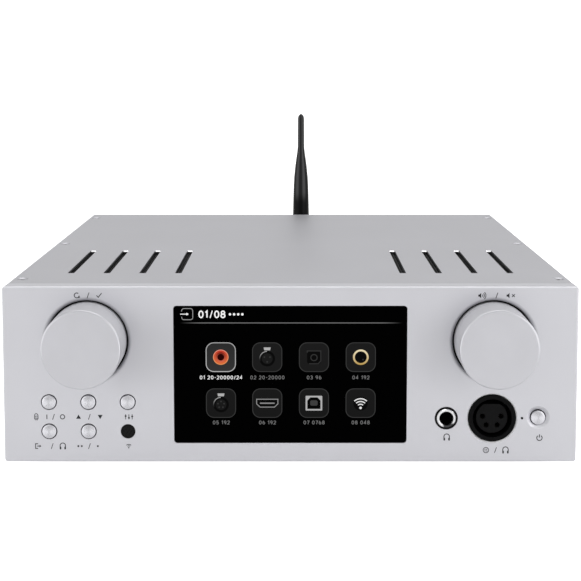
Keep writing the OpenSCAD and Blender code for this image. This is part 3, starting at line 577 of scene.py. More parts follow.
# Painted shade: the lower part of the jack bush's opening, except at its left, goes almost black.
across, along, up = bush.xyz((JACK_X, FRONT_Y, SOCKET_Z))
deep_shade = bush.math("MULTIPLY", bush.rng(up, -1.9 * MM, -2.9 * MM, 0.0, 1.0), bush.rng(across, -2.1 * MM, -1.1 * MM, 0.0, 1.0))
bush.put("color", bush.mix(deep_shade, bush.b.inputs["Base Color"].links[0].from_socket, (0.06, 0.06, 0.062)))
brass = plated("contact_brass", (0.83, 0.62, 0.24), 0.26)
# Painted shade: the contacts forward of y = -0.08 m, which sit far down in their holes, go almost black.
deep_shade = brass.rng(brass.xyz()[1], -0.08, -0.07, 1.0, 0.0)
brass.put("color", brass.mix(deep_shade, brass.b.inputs["Base Color"].links[0].from_socket, (0.012, 0.010, 0.008)))
gold = plated("rca_brass", (0.86, 0.64, 0.25), 0.24)
port = steel("port_steel", (0.66, 0.66, 0.67), 0.3, along=(60.0, 60.0, 1.0))
antenna_plastic = plastic("antenna_plastic", (0.005, 0.005, 0.0053), 0.36, spec=0.3)
antenna_rubber = whip_rubber((0.013, 0.013, 0.0134), 0.34)
print_dark = printed("panel_print", srgb(42, 42, 45))
print_rear = printed("rear_print", srgb(40, 40, 42))
mesh = plastic("mesh_paint", (0.008, 0.008, 0.0085), 0.6, spec=0.1)
lip = plated("lip_aluminium", (0.74, 0.74, 0.75), 0.42)


def shell_metal():
    """Black coated die casting: satin, a touch lighter where the coat thins."""
    m = Mat("socket_metal", spec=0.06)
    fine = m.noise(3200.0, 3.0, 0.6)
    cloud = m.noise(160.0, 3.0, 0.55)
    m.put("color", m.mix(m.rng(cloud, 0.35, 0.7, 0.0, 1.0), (0.002, 0.002, 0.0021), (0.004, 0.004, 0.0042)))
    m.put("rough", m.rng(fine, 0.3, 0.7, 0.32, 0.44))
    m.bump(fine, 0.01, 0.5)
    return m.m


def turned_metal(name, color, rough, centre, pitch_mm, depth, aniso, side=None):
    """Metal turned about an axis along Y: fine rings about the centre, and a highlight drawn out across them. Its
    colour also carries painted light: on the buttons, lighter wedges at the left and right and darker ones at the top
    and bottom; on the knobs, a painted highlight on the chamfer and a side wall made lighter at the left and right and
    close to the panel.
    """
    m = Mat(name, metal=1.0, aniso=aniso)
    x, y, z = m.xyz(centre)
    r = m.math("SQRT", m.math("ADD", m.math("MULTIPLY", x, x), m.math("MULTIPLY", z, z)))
    rings = m.math("SINE", m.math("MULTIPLY", r, 2 * math.pi / (pitch_mm * MM)))
    fine = m.noise(4200.0, 2.0, 0.6)
    cloud = m.noise(60.0, 3.0, 0.5)
    h = m.math("ADD", m.math("MULTIPLY", rings, 0.5), fine)
    m.put("color", m.mix(m.rng(m.math("ADD", m.math("MULTIPLY", fine, 0.4), m.math("MULTIPLY", cloud, 0.6)), 0.3, 0.7, 0.0, 1.0), tone(color, 0.97), tone(color, 1.03)))
    if side:
        old = m.b.inputs["Base Color"].links[0].from_socket
        # Painted highlight on the knob's chamfer: lighter at the left and right, lightest on the side toward the
        # middle, darker at the top, and plain below the centre.
        wedge_light = m.math("DIVIDE", m.math("MULTIPLY", x, x), m.math("ADD", m.math("MULTIPLY", r, r), 0.09 * MM * MM))
        inner = m.rng(m.math("MULTIPLY", x, -1.0 if centre[0] > 0.0 else 1.0), -8.0 * MM, 8.0 * MM, 0.0, 1.0)
        chamfer_highlight = m.mix(wedge_light, tone(color, 0.88), m.mix(inner, tone(color, 1.12), tone(color, 1.42)))
        chamfer_highlight = m.mix(m.rng(z, 3.0 * MM, -8.0 * MM, 0.0, 1.0, True), chamfer_highlight, tone(color, 0.97))
        m.put("color", m.mix(m.rng(r, (side[0] - 0.6) * MM, (side[0] - 0.45) * MM, 0.0, 1.0), old, chamfer_highlight))
        # Painted light on the knob's side wall: lighter at the left and right, and lighter still close to the panel,
        # making up for light lost to shade there.
        edge = m.rng(r, (side[0] + 0.05) * MM, (side[0] + 0.15) * MM, 0.0, 1.0)
        far = m.mix(wedge_light, tone(color, side[1] - 0.07), tone(color, side[1] + 0.07))
        panel_side_light = m.mix(m.rng(y, (FRONT_Y - 3.0) * MM, FRONT_Y * MM, 0.0, 1.0), far, tone(color, side[2]))
        m.put("color", m.mix(edge, m.b.inputs["Base Color"].links[0].from_socket, panel_side_light))
        m.put("metal", m.rng(edge, 0.0, 1.0, 1.0, side[3]))
    else:
        # Painted light on the buttons: lighter wedges at the left and right, the left one lightest, and darker wedges
        # at the top and bottom.
        wedge_light = m.math("DIVIDE", m.math("MULTIPLY", x, x), m.math("ADD", m.math("MULTIPLY", r, r), 0.09 * MM * MM))
        bright = m.mix(m.rng(x, -3.5 * MM, 3.5 * MM, 0.0, 1.0), tone(color, 1.13), tone(color, 1.03))
        spun_highlight = m.mix(wedge_light, tone(color, 0.8), bright)
        m.put("color", m.mix(m.rng(fine, 0.3, 0.7, 0.06, 0.16), spun_highlight, m.b.inputs["Base Color"].links[0].from_socket))
    m.put("rough", m.rng(fine, 0.3, 0.7, rough - 0.05, rough + 0.05))
    m.bump(h, depth, 0.4)
    if aniso:
        t = m.n("ShaderNodeTangent", direction_type="RADIAL", axis="Y")
        m.l(t.outputs[0], m.b.inputs["Tangent"])
    return m.m


def glass_black():
    """Bonded cover glass over an unlit black screen, with a trace of haze."""
    m = Mat("display_glass", spec=0.004)
    haze = m.noise(24.0, 4.0, 0.6)
    fine = m.noise(700.0, 2.0, 0.5)
    m.put("color", m.mix(haze, (0.00015, 0.00015, 0.00018), (0.0003, 0.0003, 0.00035)))
    m.put("rough", m.rng(m.math("ADD", m.math("MULTIPLY", haze, 0.7), m.math("MULTIPLY", fine, 0.3)), 0.3, 0.7, 0.05, 0.14))
    return m.m


def window_plastic(name, color):
    """Dark infrared filter plastic with a soft polish."""
    m = Mat(name, spec=0.11)
    fine = m.noise(1200.0, 3.0, 0.6)
    m.put("color", m.mix(fine, tone(color, 0.8), tone(color, 1.2)))
    m.put("rough", m.rng(fine, 0.3, 0.7, 0.22, 0.34))
    return m.m


def board():
    """Circuit board: green solder mask over copper tracks, with rows of tinned pads."""
    m = Mat("board_laminate", spec=0.5)
    bk = m.n("ShaderNodeTexBrick", offset=0.5, squash=1.0)
    for k, v in (("Scale", 160.0), ("Mortar Size", 0.05), ("Mortar Smooth", 0.3), ("Brick Width", 0.8), ("Row Height", 0.28)):
        bk.inputs[k].default_value = v
    bk.inputs["Color1"].default_value = (0.006, 0.075, 0.032, 1)
    bk.inputs["Color2"].default_value = (0.005, 0.06, 0.026, 1)
    bk.inputs["Mortar"].default_value = (0.013, 0.12, 0.05, 1)
    m.l(m.co, bk.inputs["Vector"])
    vo = m.n("ShaderNodeTexVoronoi")
    vo.inputs["Scale"].default_value = 330.0
    vo.inputs["Randomness"].default_value = 0.15
    m.l(m.co, vo.inputs["Vector"])
    pads = m.rng(vo.outputs["Distance"], 0.16, 0.2, 1.0, 0.0)
    m.put("color", m.mix(pads, bk.outputs[0], (0.55, 0.55, 0.52)))
    m.put("metal", m.math("MULTIPLY", pads, 0.9))
    m.put("rough", m.rng(m.noise(400.0), 0.3, 0.7, 0.28, 0.42))
    m.bump(bk.outputs[1], 0.04, 0.5)
    return m.m


def wound():
    """Ring transformer wrapped in tape: overlapping turns round the ring."""
    m = Mat("transformer_core", spec=0.4)
    x, y, z = m.xyz((-78.0, 17.0, 0.0))
    a = m.math("ARCTAN2", y, x)
    wraps = m.math("SINE", m.math("MULTIPLY", a, 46.0))
    fine = m.noise(900.0, 3.0, 0.6)
    m.put("color", m.mix(m.rng(wraps, -1.0, 1.0, 0.0, 1.0), (0.012, 0.013, 0.018), (0.032, 0.034, 0.045)))
    m.put("rough", m.rng(fine, 0.3, 0.7, 0.3, 0.5))
    m.bump(m.math("ADD", wraps, m.math("MULTIPLY", fine, 0.3)), 0.3, 0.6)
    return m.m


def tube_glass():
    """Thin clear glass with a silvery getter flash at the tip."""
    m = Mat("tube_glass", spec=0.5, trans=1.0, ior=1.12)
    x, y, z = m.xyz()
    spots = m.noise(260.0, 3.0, 0.6)
    flash = m.rng(m.math("ADD", z, m.math("MULTIPLY", spots, 0.006)), 0.0735, 0.077, 0.0, 1.0, True)
    m.put("color", m.mix(flash, (0.93, 0.95, 0.96), (0.42, 0.42, 0.44)))
    m.put("metal", m.math("MULTIPLY", flash, 0.9))
    m.put("rough", m.rng(spots, 0.3, 0.7, 0.02, 0.08))
    return m.m


def sleeves():
    """Capacitor cans in printed sleeves, with a pale stripe down one side and a bare scored top."""
    m = Mat("capacitor_sleeve", spec=0.45)
    x, y, z = m.xyz()
    fine = m.noise(1500.0, 2.0, 0.5)
    top = m.rng(z, 0.0531, 0.0535, 0.0, 1.0)
    band = m.rng(m.math("SINE", m.math("MULTIPLY", x, 2 * math.pi / 0.022)), 0.72, 0.78, 0.0, 1.0)
    side = m.mix(band, (0.012, 0.016, 0.05), (0.5, 0.52, 0.56))
    m.put("color", m.mix(top, side, (0.6, 0.6, 0.61)))
    m.put("metal", top)
    m.put("rough", m.rng(fine, 0.3, 0.7, 0.28, 0.4))
    m.bump(fine, 0.01, 0.4)
    return m.m


def insulators():
    """Moulded sockets, each in its own colour: white, red and black by place."""
    m = Mat("rca_plastic", spec=0.45)
    x, y, z = m.xyz()
    fine = m.noise(1800.0, 2.0, 0.5)
    a = m.rng(x, -0.0735, -0.0725, 0.0, 1.0)
    b = m.rng(x, -0.0005, 0.0005, 0.0, 1.0)
    c = m.rng(x, 0.0525, 0.0535, 0.0, 1.0)
    d = m.rng(x, 0.0765, 0.0775, 0.0, 1.0)
    col = m.mix(a, (0.5, 0.02, 0.018), (0.74, 0.74, 0.71))
    col = m.mix(b, col, (0.02, 0.02, 0.021))
    col = m.mix(c, col, (0.5, 0.02, 0.018))
    col = m.mix(d, col, (0.74, 0.74, 0.71))
    k = m.n("ShaderNodeMix", data_type="RGBA", blend_type="MULTIPLY")
    k.inputs[0].default_value = 1.0
    m.l(col, k.inputs[6])
    m.l(m.mix(fine, (0.88, 0.88, 0.88), (1.0, 1.0, 1.0)), k.inputs[7])
    m.put("color", k.outputs[2])
    m.put("rough", m.rng(fine, 0.3, 0.7, 0.3, 0.42))
    m.bump(fine, 0.01, 0.4)
    return m.m


MATERIALS = {
    "front_panel": panel.m, "top_cover": case.m, "left_side_rail": case.m, "right_side_rail": case.m, "rear_panel": case.m, "bottom_plate": bottom.m,
    "case_screws": screw.m, "pan_head_screws": screw.m, "front_brackets": bracket.m, "display_bracket": bracket.m, "transformer_clamp": bracket.m, "display_module": module.m,
    "feet": foot.m, "foot_pads": pad.m, "display_glass": glass_black(), "scroll_shaft": shaft.m, "volume_shaft": shaft.m, "encoder_nuts": shaft.m,
    "scroll_plunger": plunger.m, "volume_plunger": plunger.m, "rotary_encoders": encoder.m, "key_switches": encoder.m,
    "ir_window": window_plastic("ir_plastic", (0.005, 0.0046, 0.0048)), "power_led": window_plastic("led_plastic", (0.004, 0.004, 0.0042)),
    "headphone_jack": socket_black.m, "headphone_jack_bush": bush.m, "balanced_socket_insert": socket_black.m, "xlr_inserts": socket_black.m, "optical_port": socket_black.m,
    "balanced_socket_shell": None, "xlr_shells": None, "xlr_contacts": brass.m, "mains_inlet_pins": brass.m, "control_boards": None, "main_board": None,
    "board_standoffs": standoff.m, "mains_transformer": wound(), "vacuum_tubes": tube_glass(), "tube_sockets": ceramic.m, "heat_sinks": sink.m, "capacitors": sleeves(),
    "mains_inlet": inlet.m, "fuse_drawer": inlet.m, "power_rocker": rocker.m, "rca_jacks": gold.m, "rca_insulators": insulators(), "usb_port": port.m, "hdmi_port": port.m,
    "antenna_connector": gold.m, "antenna_base": antenna_plastic.m, "antenna_whip": antenna_rubber.m,
}
shell_black = shell_metal()
pcb = board()
MATERIALS.update(balanced_socket_shell=shell_black, xlr_shells=shell_black, control_boards=pcb, main_board=pcb)
for name, s in (("scroll_knob", -1), ("volume_knob", 1)):
    MATERIALS[name] = turned_metal("knob_aluminium_" + name.split("_")[0], tone(ALU, 0.935), 0.44, (s * KNOB_X, 0.0, KNOB_Z), 0.35, 0.006, 0.0, (19.3, 0.95, 1.2, 0.3))
for name, (x, z) in {"tube_button": (COLS[0], ROW1), "gain_button": (COLS[1], ROW1), "setup_button": (COLS[2], ROW1), "output_button": (COLS[0], ROW2), "balance_button": (COLS[1], ROW2), "power_button": POWER}.items():
    MATERIALS[name] = turned_metal("button_aluminium_" + name.split("_")[0], tone(ALU, 1.1), 0.28, (x, 0.0, z), 0.22, 0.006, 0.6)
for name, o in NODES.items():
    o.data.materials.clear()
    o.data.materials.append(MATERIALS[name])


# ---------------------------------------------------------------- softened edges on the carried-over solids
def sharp_by_angle():
    """A node group that shades smooth up to a given angle between faces."""
    g = bpy.data.node_groups.new("shade_by_angle", "GeometryNodeTree")
    g.interface.new_socket("Geometry", in_out="INPUT", socket_type="NodeSocketGeometry")
    g.interface.new_socket("Geometry", in_out="OUTPUT", socket_type="NodeSocketGeometry")
    i, o = g.nodes.new("NodeGroupInput"), g.nodes.new("NodeGroupOutput")
    e = g.nodes.new("GeometryNodeInputMeshEdgeAngle")
    c = g.nodes.new("FunctionNodeCompare")
    c.data_type, c.operation = "FLOAT", "GREATER_THAN"
    c.inputs[1].default_value = math.radians(38)
    s = g.nodes.new("GeometryNodeSetMeshNormal")
    s.mode = "SHARPNESS"
    s.inputs["Remove Custom"].default_value = True
    g.links.new(e.outputs["Unsigned Angle"], c.inputs[0])
    g.links.new(c.outputs[0], s.inputs["Edge Sharpness"])
    s.inputs["Face Sharpness"].default_value = False
    g.links.new(i.outputs[0], s.inputs[0])
    g.links.new(s.outputs[0], o.inputs[0])
    return g


SHADE = sharp_by_angle()


def soften(node, width_mm, segments=2):
    o = NODES[node]
    w = o.modifiers.new("weld", "WELD")
    w.merge_threshold = 2e-6
    d = o.modifiers.new("flat", "DECIMATE")
    d.decimate_type = "DISSOLVE"
    d.angle_limit = math.radians(0.4)
    b = o.modifiers.new("edge", "BEVEL")
    b.width = width_mm * MM
    b.segments = segments
    b.limit_method = "ANGLE"
    b.angle_limit = math.radians(55)
    b.use_clamp_overlap = False
    b.miter_outer = "MITER_ARC"
    n = o.modifiers.new("shade", "NODES")
    n.node_group = SHADE
    k = o.modifiers.new("weight", "WEIGHTED_NORMAL")
    k.keep_sharp = True


def smooth(node):
    o = NODES[node]
    w = o.modifiers.new("weld", "WELD")
    w.merge_threshold = 2e-6
    n = o.modifiers.new("shade", "NODES")
    n.node_group = SHADE


for node in ("tube_button", "gain_button", "setup_button", "output_button", "balance_button", "power_button", "antenna_whip"):
    smooth(node)

for node, width in {
    "front_panel": 0.18, "top_cover": 0.2, "left_side_rail": 0.25, "right_side_rail": 0.25, "rear_panel": 0.15, "bottom_plate": 0.2,
    "mains_inlet": 0.2, "fuse_drawer": 0.15, "power_rocker": 0.25, "xlr_shells": 0.15, "usb_port": 0.1, "hdmi_port": 0.1, "optical_port": 0.1,
    "antenna_base": 0.2, "balanced_socket_shell": 0.12, "balanced_socket_insert": 0.15, "headphone_jack": 0.1, "heat_sinks": 0.15, "display_bracket": 0.12,
}.items():
    soften(node, width)


# ---------------------------------------------------------------- printed pictograms on the front panel
def pu(px):
    return (px - 290.3) * 0.4984


def pv(py, mid=374.5):
    return MID_Z + (mid - py) * 0.4984


P = Relief(FRONT_Y, 0.02, "front")
S, W = 2.9, 0.44
# over the knobs
u, v = pu(89.5), pv(294.2)
g_turn(P, u - 5.6, v, S, W)
g_slash(P, u, v, S, W)
g_check(P, u + 5.4, v, S, W)
u, v = pu(495.3), pv(294.4)
g_speaker(P, u - 8.2, v, S, W)
g_waves(P, u - 7.6, v, S, W * 0.8, 3)
g_slash(P, u, v, S, W)
g_speaker(P, u + 5.8, v, S, W)
g_cross(P, u + 8.2, v, S, W * 0.9)
# under the buttons
u, v = pu(49.8), pv(417.4)
g_tube(P, u - 6.9, v, 3.3, W * 0.8)
P.line([(u - 1.6, v - 1.15), (u - 1.6, v + 1.15)], W)
g_slash(P, u + 1.7, v, S, W)
P.ring(u + 6.2, v, 1.3, 1.3 - W, 28)
u = pu(89.1)
g_triangle(P, u - 5.4, v, S, 1)
g_slash(P, u, v, S, W)
g_triangle(P, u + 5.4, v, S, -1)
u = pu(128.7)
g_sliders(P, u, v, 2.7, W)
u, v = pu(49.6), pv(447.4)
g_arrow_out(P, u - 6.2, v, 2.7, W)
g_slash(P, u + 0.9, v, S, W)
g_headphones(P, u + 6.2, v, 3.3, W)
u = pu(88.8)
g_dots(P, u - 4.7, v, 3.2, 2)
g_slash(P, u, v, S, W)
g_dots(P, u + 4.2, v, 3.2, 1)
u = pu(128.2)
P.disc(u, v - 0.8, 0.36, 20)
P.arc(u, v - 0.8, 0.95, W * 0.8, 45, 135, 10)
P.arc(u, v - 0.8, 1.7, W * 0.8, 45, 135, 12)
# by the sockets
g_headphones(P, pu(447.0), pv(438.2), 3.4, W)
u, v = pu(493.7), pv(451.5)
P.ring(u - 3.6, v, 1.55, 1.55 - W * 0.8, 32)
g_dots(P, u - 3.6, v, 1.9, 4)
g_headphones(P, u + 6.2, v, 3.4, W)
g_slash(P, u + 1.2, v, S, W)
g_standby(P, pu(540.0), pv(438.7), 3.2, W)
P.finish("panel_print", print_dark)


# ---------------------------------------------------------------- the picture on the display
def su(px):
    return (px - 290.3) * 0.4984


def sv(py):
    return MID_Z + (374.7 - py) * 0.4984


TILE = 14.95
TX = [su(p) for p in (220.9, 267.2, 313.9, 360.6)]
TZ = [sv(p) for p in (357.1, 403.9)]
GREY = lambda k: srgb(k, k, k)

white = lit("screen_white", GREY(250), 1.0)
bright = lit("screen_bright", GREY(170), 1.0, GREY(186), TZ[0] - 7.5, TZ[0] + 7.5)
icon_grey = lit("screen_icon_grey", GREY(142), 1.0)
grey = lit("screen_grey", GREY(118), 1.0)
dim = lit("screen_dim", GREY(56), 1.0)

fills = Relief(GLASS_Y, 0.02)
sel = Relief(GLASS_Y, 0.02)
for j, z in enumerate(TZ):
    for i, x in enumerate(TX):
        (sel if (i, j) == (0, 0) else fills).rrect(x, z, TILE, TILE, 4.0)
fills.finish("screen_tiles", lit("screen_tile", GREY(29), 1.0, GREY(25), TZ[1] - 8, TZ[0] + 8).m)
sel.finish("screen_tile_chosen", lit("screen_tile_chosen", GREY(44), 1.0, GREY(52), TZ[0] - 7.5, TZ[0] + 7.5).m)

edges = Relief(GLASS_Y - 0.02, 0.015)
for j, z in enumerate(TZ):
    for i, x in enumerate(TX):
        if (i, j) != (0, 0):
            edges.rframe(x, z, TILE - 0.4, TILE - 0.4, 3.8, 0.4)
edges.finish("screen_tile_edges", dim.m)
edge = Relief(GLASS_Y - 0.02, 0.015)
edge.rframe(TX[0], TZ[0], TILE - 0.42, TILE - 0.42, 3.79, 0.42)
edge.finish("screen_tile_mark", bright.m)

# header: an arrow into a box, page numbers, page dots and a fading rule
head, sign = Relief(GLASS_Y, 0.03), Relief(GLASS_Y, 0.03)
x, z = su(187.7), sv(313.5)
c = 1.15
box = [(x - 2.75, z + 1.35)] + arc_pts(x - 2.75 + c, z + 2.8 - c, c, 180, 90, 6) + arc_pts(x + 2.75 - c, z + 2.8 - c, c, 90, 0, 6) + arc_pts(x + 2.75 - c, z - 2.8 + c, c, 0, -90, 6) + arc_pts(x - 2.75 + c, z - 2.8 + c, c, -90, -180, 6) + [(x - 2.75, z - 1.35)]
sign.line(box, 0.35)
sign.finish("screen_header_sign", lit("screen_sign", GREY(150), 1.0).m)
head.line([(x - 3.5, z), (x - 0.2, z)], 0.4)
head.poly([(x - 0.4, z - 0.7), (x + 0.8, z), (x - 0.4, z + 0.7)])
n = head.digits("01", su(198.8), sv(313.7), 3.9, 0.66, 0.2)
n = head.digits("/", n + 0.3, sv(313.7), 3.9, 0.52, 0.2)
n = head.digits("08", n + 0.1, sv(313.7), 3.9, 0.66, 0.2)
for k in range(4):
    head.disc(n + 1.7 + 2.05 * k, sv(313.7), 0.62, 20)
head.finish("screen_header", white.m)
rule = Relief(GLASS_Y, 0.02)
zl = sv(322.4)
xs = [su(178) + (su(404) - su(178)) * i / 24 for i in range(25)]
rule.band([(q, zl + 0.26) for q in xs], [(q, zl - 0.26) for q in xs], False)
m = Mat("screen_rule", spec=0.004, rough=0.25, color=(0.0, 0.0, 0.0))
rx = m.xyz()[0]
fade = m.math("MINIMUM", m.rng(rx, su(179) * MM, su(204) * MM, 0.0, 1.0, True), m.rng(rx, su(380) * MM, su(403) * MM, 1.0, 0.0, True))
m.put("glow", m.mix(fade, (0.0, 0.0, 0.0), GREY(100)))
m.put("glow_strength", 1.0)
rule.finish("screen_rule", m.m)

# captions: plain numbers
cap1, cap = Relief(GLASS_Y, 0.02), Relief(GLASS_Y, 0.02)
for j, py in enumerate((377.7, 423.7)):
    for i, x in enumerate(TX):
        k = i + 4 * j
        R, w = (cap1, 0.38) if k == 0 else (cap, 0.36)
        R.digits(("01 20-20000/24", "02 20-20000", "03 96", "04 192", "05 192", "06 192", "07 0768", "08 048")[k], x, sv(py), 2.0, w, 0.26, 0.5)
cap1.finish("screen_caption_chosen", lit("screen_caption_chosen", GREY(228), 1.0).m)
cap.finish("screen_captions", lit("screen_caption", GREY(108), 1.0).m)

# the pictograms, in layers
Y1, Y2, Y3 = GLASS_Y - 0.036, GLASS_Y - 0.052, GLASS_Y - 0.068
light, mid, low, shade, dark = Relief(Y2, 0.015), Relief(Y2, 0.015), Relief(Y2, 0.015), Relief(Y1, 0.015), Relief(Y3, 0.012)
pale, arcs = Relief(Y2, 0.015), Relief(Y2, 0.015)
red, redrim, redcup, goldring = Relief(Y1, 0.015), Relief(Y2, 0.012), Relief(Y2, 0.012), Relief(Y2, 0.015)
# a socket seen from the front, in red
x, z = TX[0], TZ[0]
red.disc(x, z, 3.84, 56)
redrim.ring(x, z, 3.84, 3.46)
redcup.ring(x, z, 2.55, 1.6)
core = Relief(Y3, 0.012)
core.disc(x, z, 1.7, 40)
core.finish("screen_icon_core", lit("screen_icon_core", srgb(40, 4, 4), 1.0).m)
# round sockets with a latch
for i, j in ((1, 0), (0, 1)):
    x, z = TX[i], TZ[j]
    shade.ring(x, z - 0.75, 3.9, 2.7)
    arcs.arc(x, z - 0.75, 3.7, 0.42, 92, 200, 20)
    pale.poly([(x - 1.75, z + 4.95), (x + 1.75, z + 4.95), (x + 1.45, z + 3.5), (x - 1.45, z + 3.5)])
    for a in ((150, 30, 270) if j == 0 else (90, 162, 234, 306, 18)):
        low.disc(x + 1.6 * math.cos(math.radians(a)), z - 0.75 + 1.6 * math.sin(math.radians(a)), 0.42, 18)
# a square port with a shutter
x, z = TX[2], TZ[0]
shade.rrect(x, z - 0.3, 6.9, 6.2, 1.3)
low.line([(x - 3.4, z + 2.3), (x - 3.4, z + 3.2), (x + 3.4, z + 3.2), (x + 3.4, z - 1.9), (x + 2.0, z - 3.3), (x - 2.4, z - 3.3)], 0.42)
low.ring(x, z - 0.2, 1.8, 1.3)
# a plain round socket
x, z = TX[3], TZ[0]
shade.disc(x, z, 3.8, 48)
goldring.ring(x, z, 3.9, 2.98)
low.disc(x + 1.1, z - 1.2, 0.36, 16)
# a flat plug
x, z = TX[1], TZ[1]
shape = [(x - 5.3, z + 2.0), (x + 5.3, z + 2.0), (x + 5.3, z - 0.35), (x + 3.6, z - 2.0), (x - 3.6, z - 2.0), (x - 5.3, z - 0.35)]
shade.poly(shape)
mid.line(shape, 0.44, True)
mid.rrect(x, z - 0.02, 7.3, 0.62, 0.2)
# a square plug
x, z = TX[2], TZ[1]
inner = [(x - 3.3, z - 2.95), (x + 3.3, z - 2.95), (x + 3.3, z + 1.3), (x + 1.8, z + 2.95), (x - 1.8, z + 2.95), (x - 3.3, z + 1.3)]
pale.rrect(x, z, 8.3, 7.5, 0.35)
dark.poly(inner)
top = Relief(Y3 - 0.014, 0.01)
top.rrect(x, z + 0.1, 3.7, 2.7, 0.8)
top.finish("screen_icons_top", lit("screen_icon_top", GREY(62), 1.0).m)
# radio arcs
x, z = TX[3], TZ[1]
shade.disc(x, z - 0.2, 3.6, 40)
light.disc(x, z - 2.4, 0.64, 24)
for r in (1.85, 3.25, 4.65):
    light.arc(x, z - 2.4, r, 0.58, 48, 132, 16)
light.finish("screen_icons_light", lit("screen_icon_light", GREY(232), 1.0).m)
pale.finish("screen_icons_pale", lit("screen_icon_pale", GREY(178), 1.0).m)
mid.finish("screen_icons_mid", icon_grey.m)
low.finish("screen_icons_low", lit("screen_icon_low", GREY(52), 1.0).m)
shade.finish("screen_icons_shade", lit("screen_icon_shade", GREY(11), 1.0).m)
dark.finish("screen_icons_dark", lit("screen_icon_dark", GREY(5), 1.0).m)
m = Mat("screen_icon_arc", spec=0.004, rough=0.25, color=(0.0, 0.0, 0.0))
az = m.xyz()[2]
fade = m.math("MAXIMUM", m.math("MULTIPLY", m.rng(az, (TZ[0] - 1.6) * MM, (TZ[0] + 2.9) * MM, 0.0, 1.0, True), m.rng(az, (TZ[0] - 4.9) * MM, (TZ[0] - 4.8) * MM, 0.0, 1.0)), m.math("MULTIPLY", m.rng(az, (TZ[1] - 1.6) * MM, (TZ[1] + 2.9) * MM, 0.0, 1.0, True), m.rng(az, (TZ[1] + 5.0) * MM, (TZ[1] + 5.1) * MM, 1.0, 0.0)))
m.put("glow", m.mix(fade, GREY(30), GREY(158)))
m.put("glow_strength", 1.0)
arcs.finish("screen_icons_arc", m.m)
red.finish("screen_icon_red", lit("screen_icon_red", srgb(186, 52, 40), 1.0, srgb(222, 110, 60), TZ[0] - 3.8, TZ[0] + 3.8).m)
redrim.finish("screen_icon_rim", lit("screen_icon_rim", srgb(234, 150, 132), 1.0, srgb(232, 150, 86), TZ[0] - 3.8, TZ[0] + 3.8).m)
redcup.finish("screen_icon_cup", lit("screen_icon_cup", srgb(110, 18, 14), 1.0, srgb(214, 104, 78), TZ[0] - 2.6, TZ[0] + 2.6).m)
goldring.finish("screen_icon_gold", lit("screen_icon_gold", srgb(236, 222, 184), 1.0, srgb(186, 152, 82), TZ[0] - 3.8, TZ[0] + 3.8).m)


# ---------------------------------------------------------------- plain numbers at the rear sockets
Q = Relief(REAR_Y, 0.02, "rear")
for k, x in enumerate((112, 80, 50)):
    Q.digits("%d" % (k + 1), -x, 90.5, 2.6, 0.4, align=0.5)
for k, x in enumerate((-50, -80)):
    Q.digits("%d" % (k + 1), -x, 90.5, 2.6, 0.4, align=0.5)
for k, x in enumerate((88, 66, 40)):
    Q.digits("%d" % (k + 4), -x, 41.8, 2.6, 0.4, align=0.5)
for k, x in enumerate((-62, -84)):
    Q.digits("%d" % (k + 3), -x, 41.8, 2.6, 0.4, align=0.5)
Q.digits("7", -16.0, 32.6, 2.6, 0.4, align=0.5)
Q.digits("8", 6.0, 33.2, 2.6, 0.4, align=0.5)
Q.digits("9", 32.0, 28.6, 2.6, 0.4, align=0.5)
g_arrow_in(Q, -96.0, 90.5, 3.0, 0.4)
g_arrow_out(Q, 65.0, 90.5, 3.0, 0.4)
g_waves(Q, -6.6 - 0.6, 77.0, 4.2, 0.4, 2)
Q.disc(-6.6 - 0.6, 77.0, 0.4, 18)
Q.finish("rear_print", print_rear)


# ---------------------------------------------------------------- wire mesh under the vent slots and the sloped far ends of the slots
def boxes(name, spans, material):
    """Plain blocks, each from one corner to the other, in mm."""
    bm = bmesh.new()
    for a, b in spans:
        v = [bm.verts.new([(a, b)[k][i] * MM for i, k in enumerate(q)]) for q in ((0, 0, 0), (1, 0, 0), (1, 1, 0), (0, 1, 0), (0, 0, 1), (1, 0, 1), (1, 1, 1), (0, 1, 1))]
        for f in ((3, 2, 1, 0), (4, 5, 6, 7), (0, 1, 5, 4), (1, 2, 6, 5), (2, 3, 7, 6), (3, 0, 4, 7)):
            bm.faces.new([v[i] for i in f])
    me = bpy.data.meshes.new(name)
    bm.to_mesh(me)
    bm.free()
    return add_piece(name, me, material, "case")


for name, s in (("left", -1), ("right", 1)):
    x0, x1 = sorted((s * 55.2, s * 119.2))
    wires = [((x0 + 1.28 * i, -102.0, 95.0), (x0 + 1.28 * i + 0.6, -24.0, 95.25)) for i in range(50)]
    wires += [((x0, -102.0 + 1.28 * i, 94.74), (x1, -101.4 + 1.28 * i, 94.99)) for i in range(61)]
    boxes("vent_mesh_" + name, wires, mesh)
bm = bmesh.new()
for x in [s * (59.0 + 18.8 * i) for s in (-1, 1) for i in range(4)]:
    rows = [[bm.verts.new((q * MM, y * MM, z * MM)) for y, z in ((-27.02, 96.96), (-27.6, 96.3), (-27.02, 96.3))] for q in (x - 1.45, x + 1.45)]
    bm.faces.new(rows[0])
    bm.faces.new(rows[1][::-1])
    for i in range(3):
        j = (i + 1) % 3
        bm.faces.new((rows[0][j], rows[0][i], rows[1][i], rows[1][j]))
bmesh.ops.recalc_face_normals(bm, faces=bm.faces)
me = bpy.data.meshes.new("slot_ends")
bm.to_mesh(me)
bm.free()
add_piece("slot_ends", me, lip, "case")


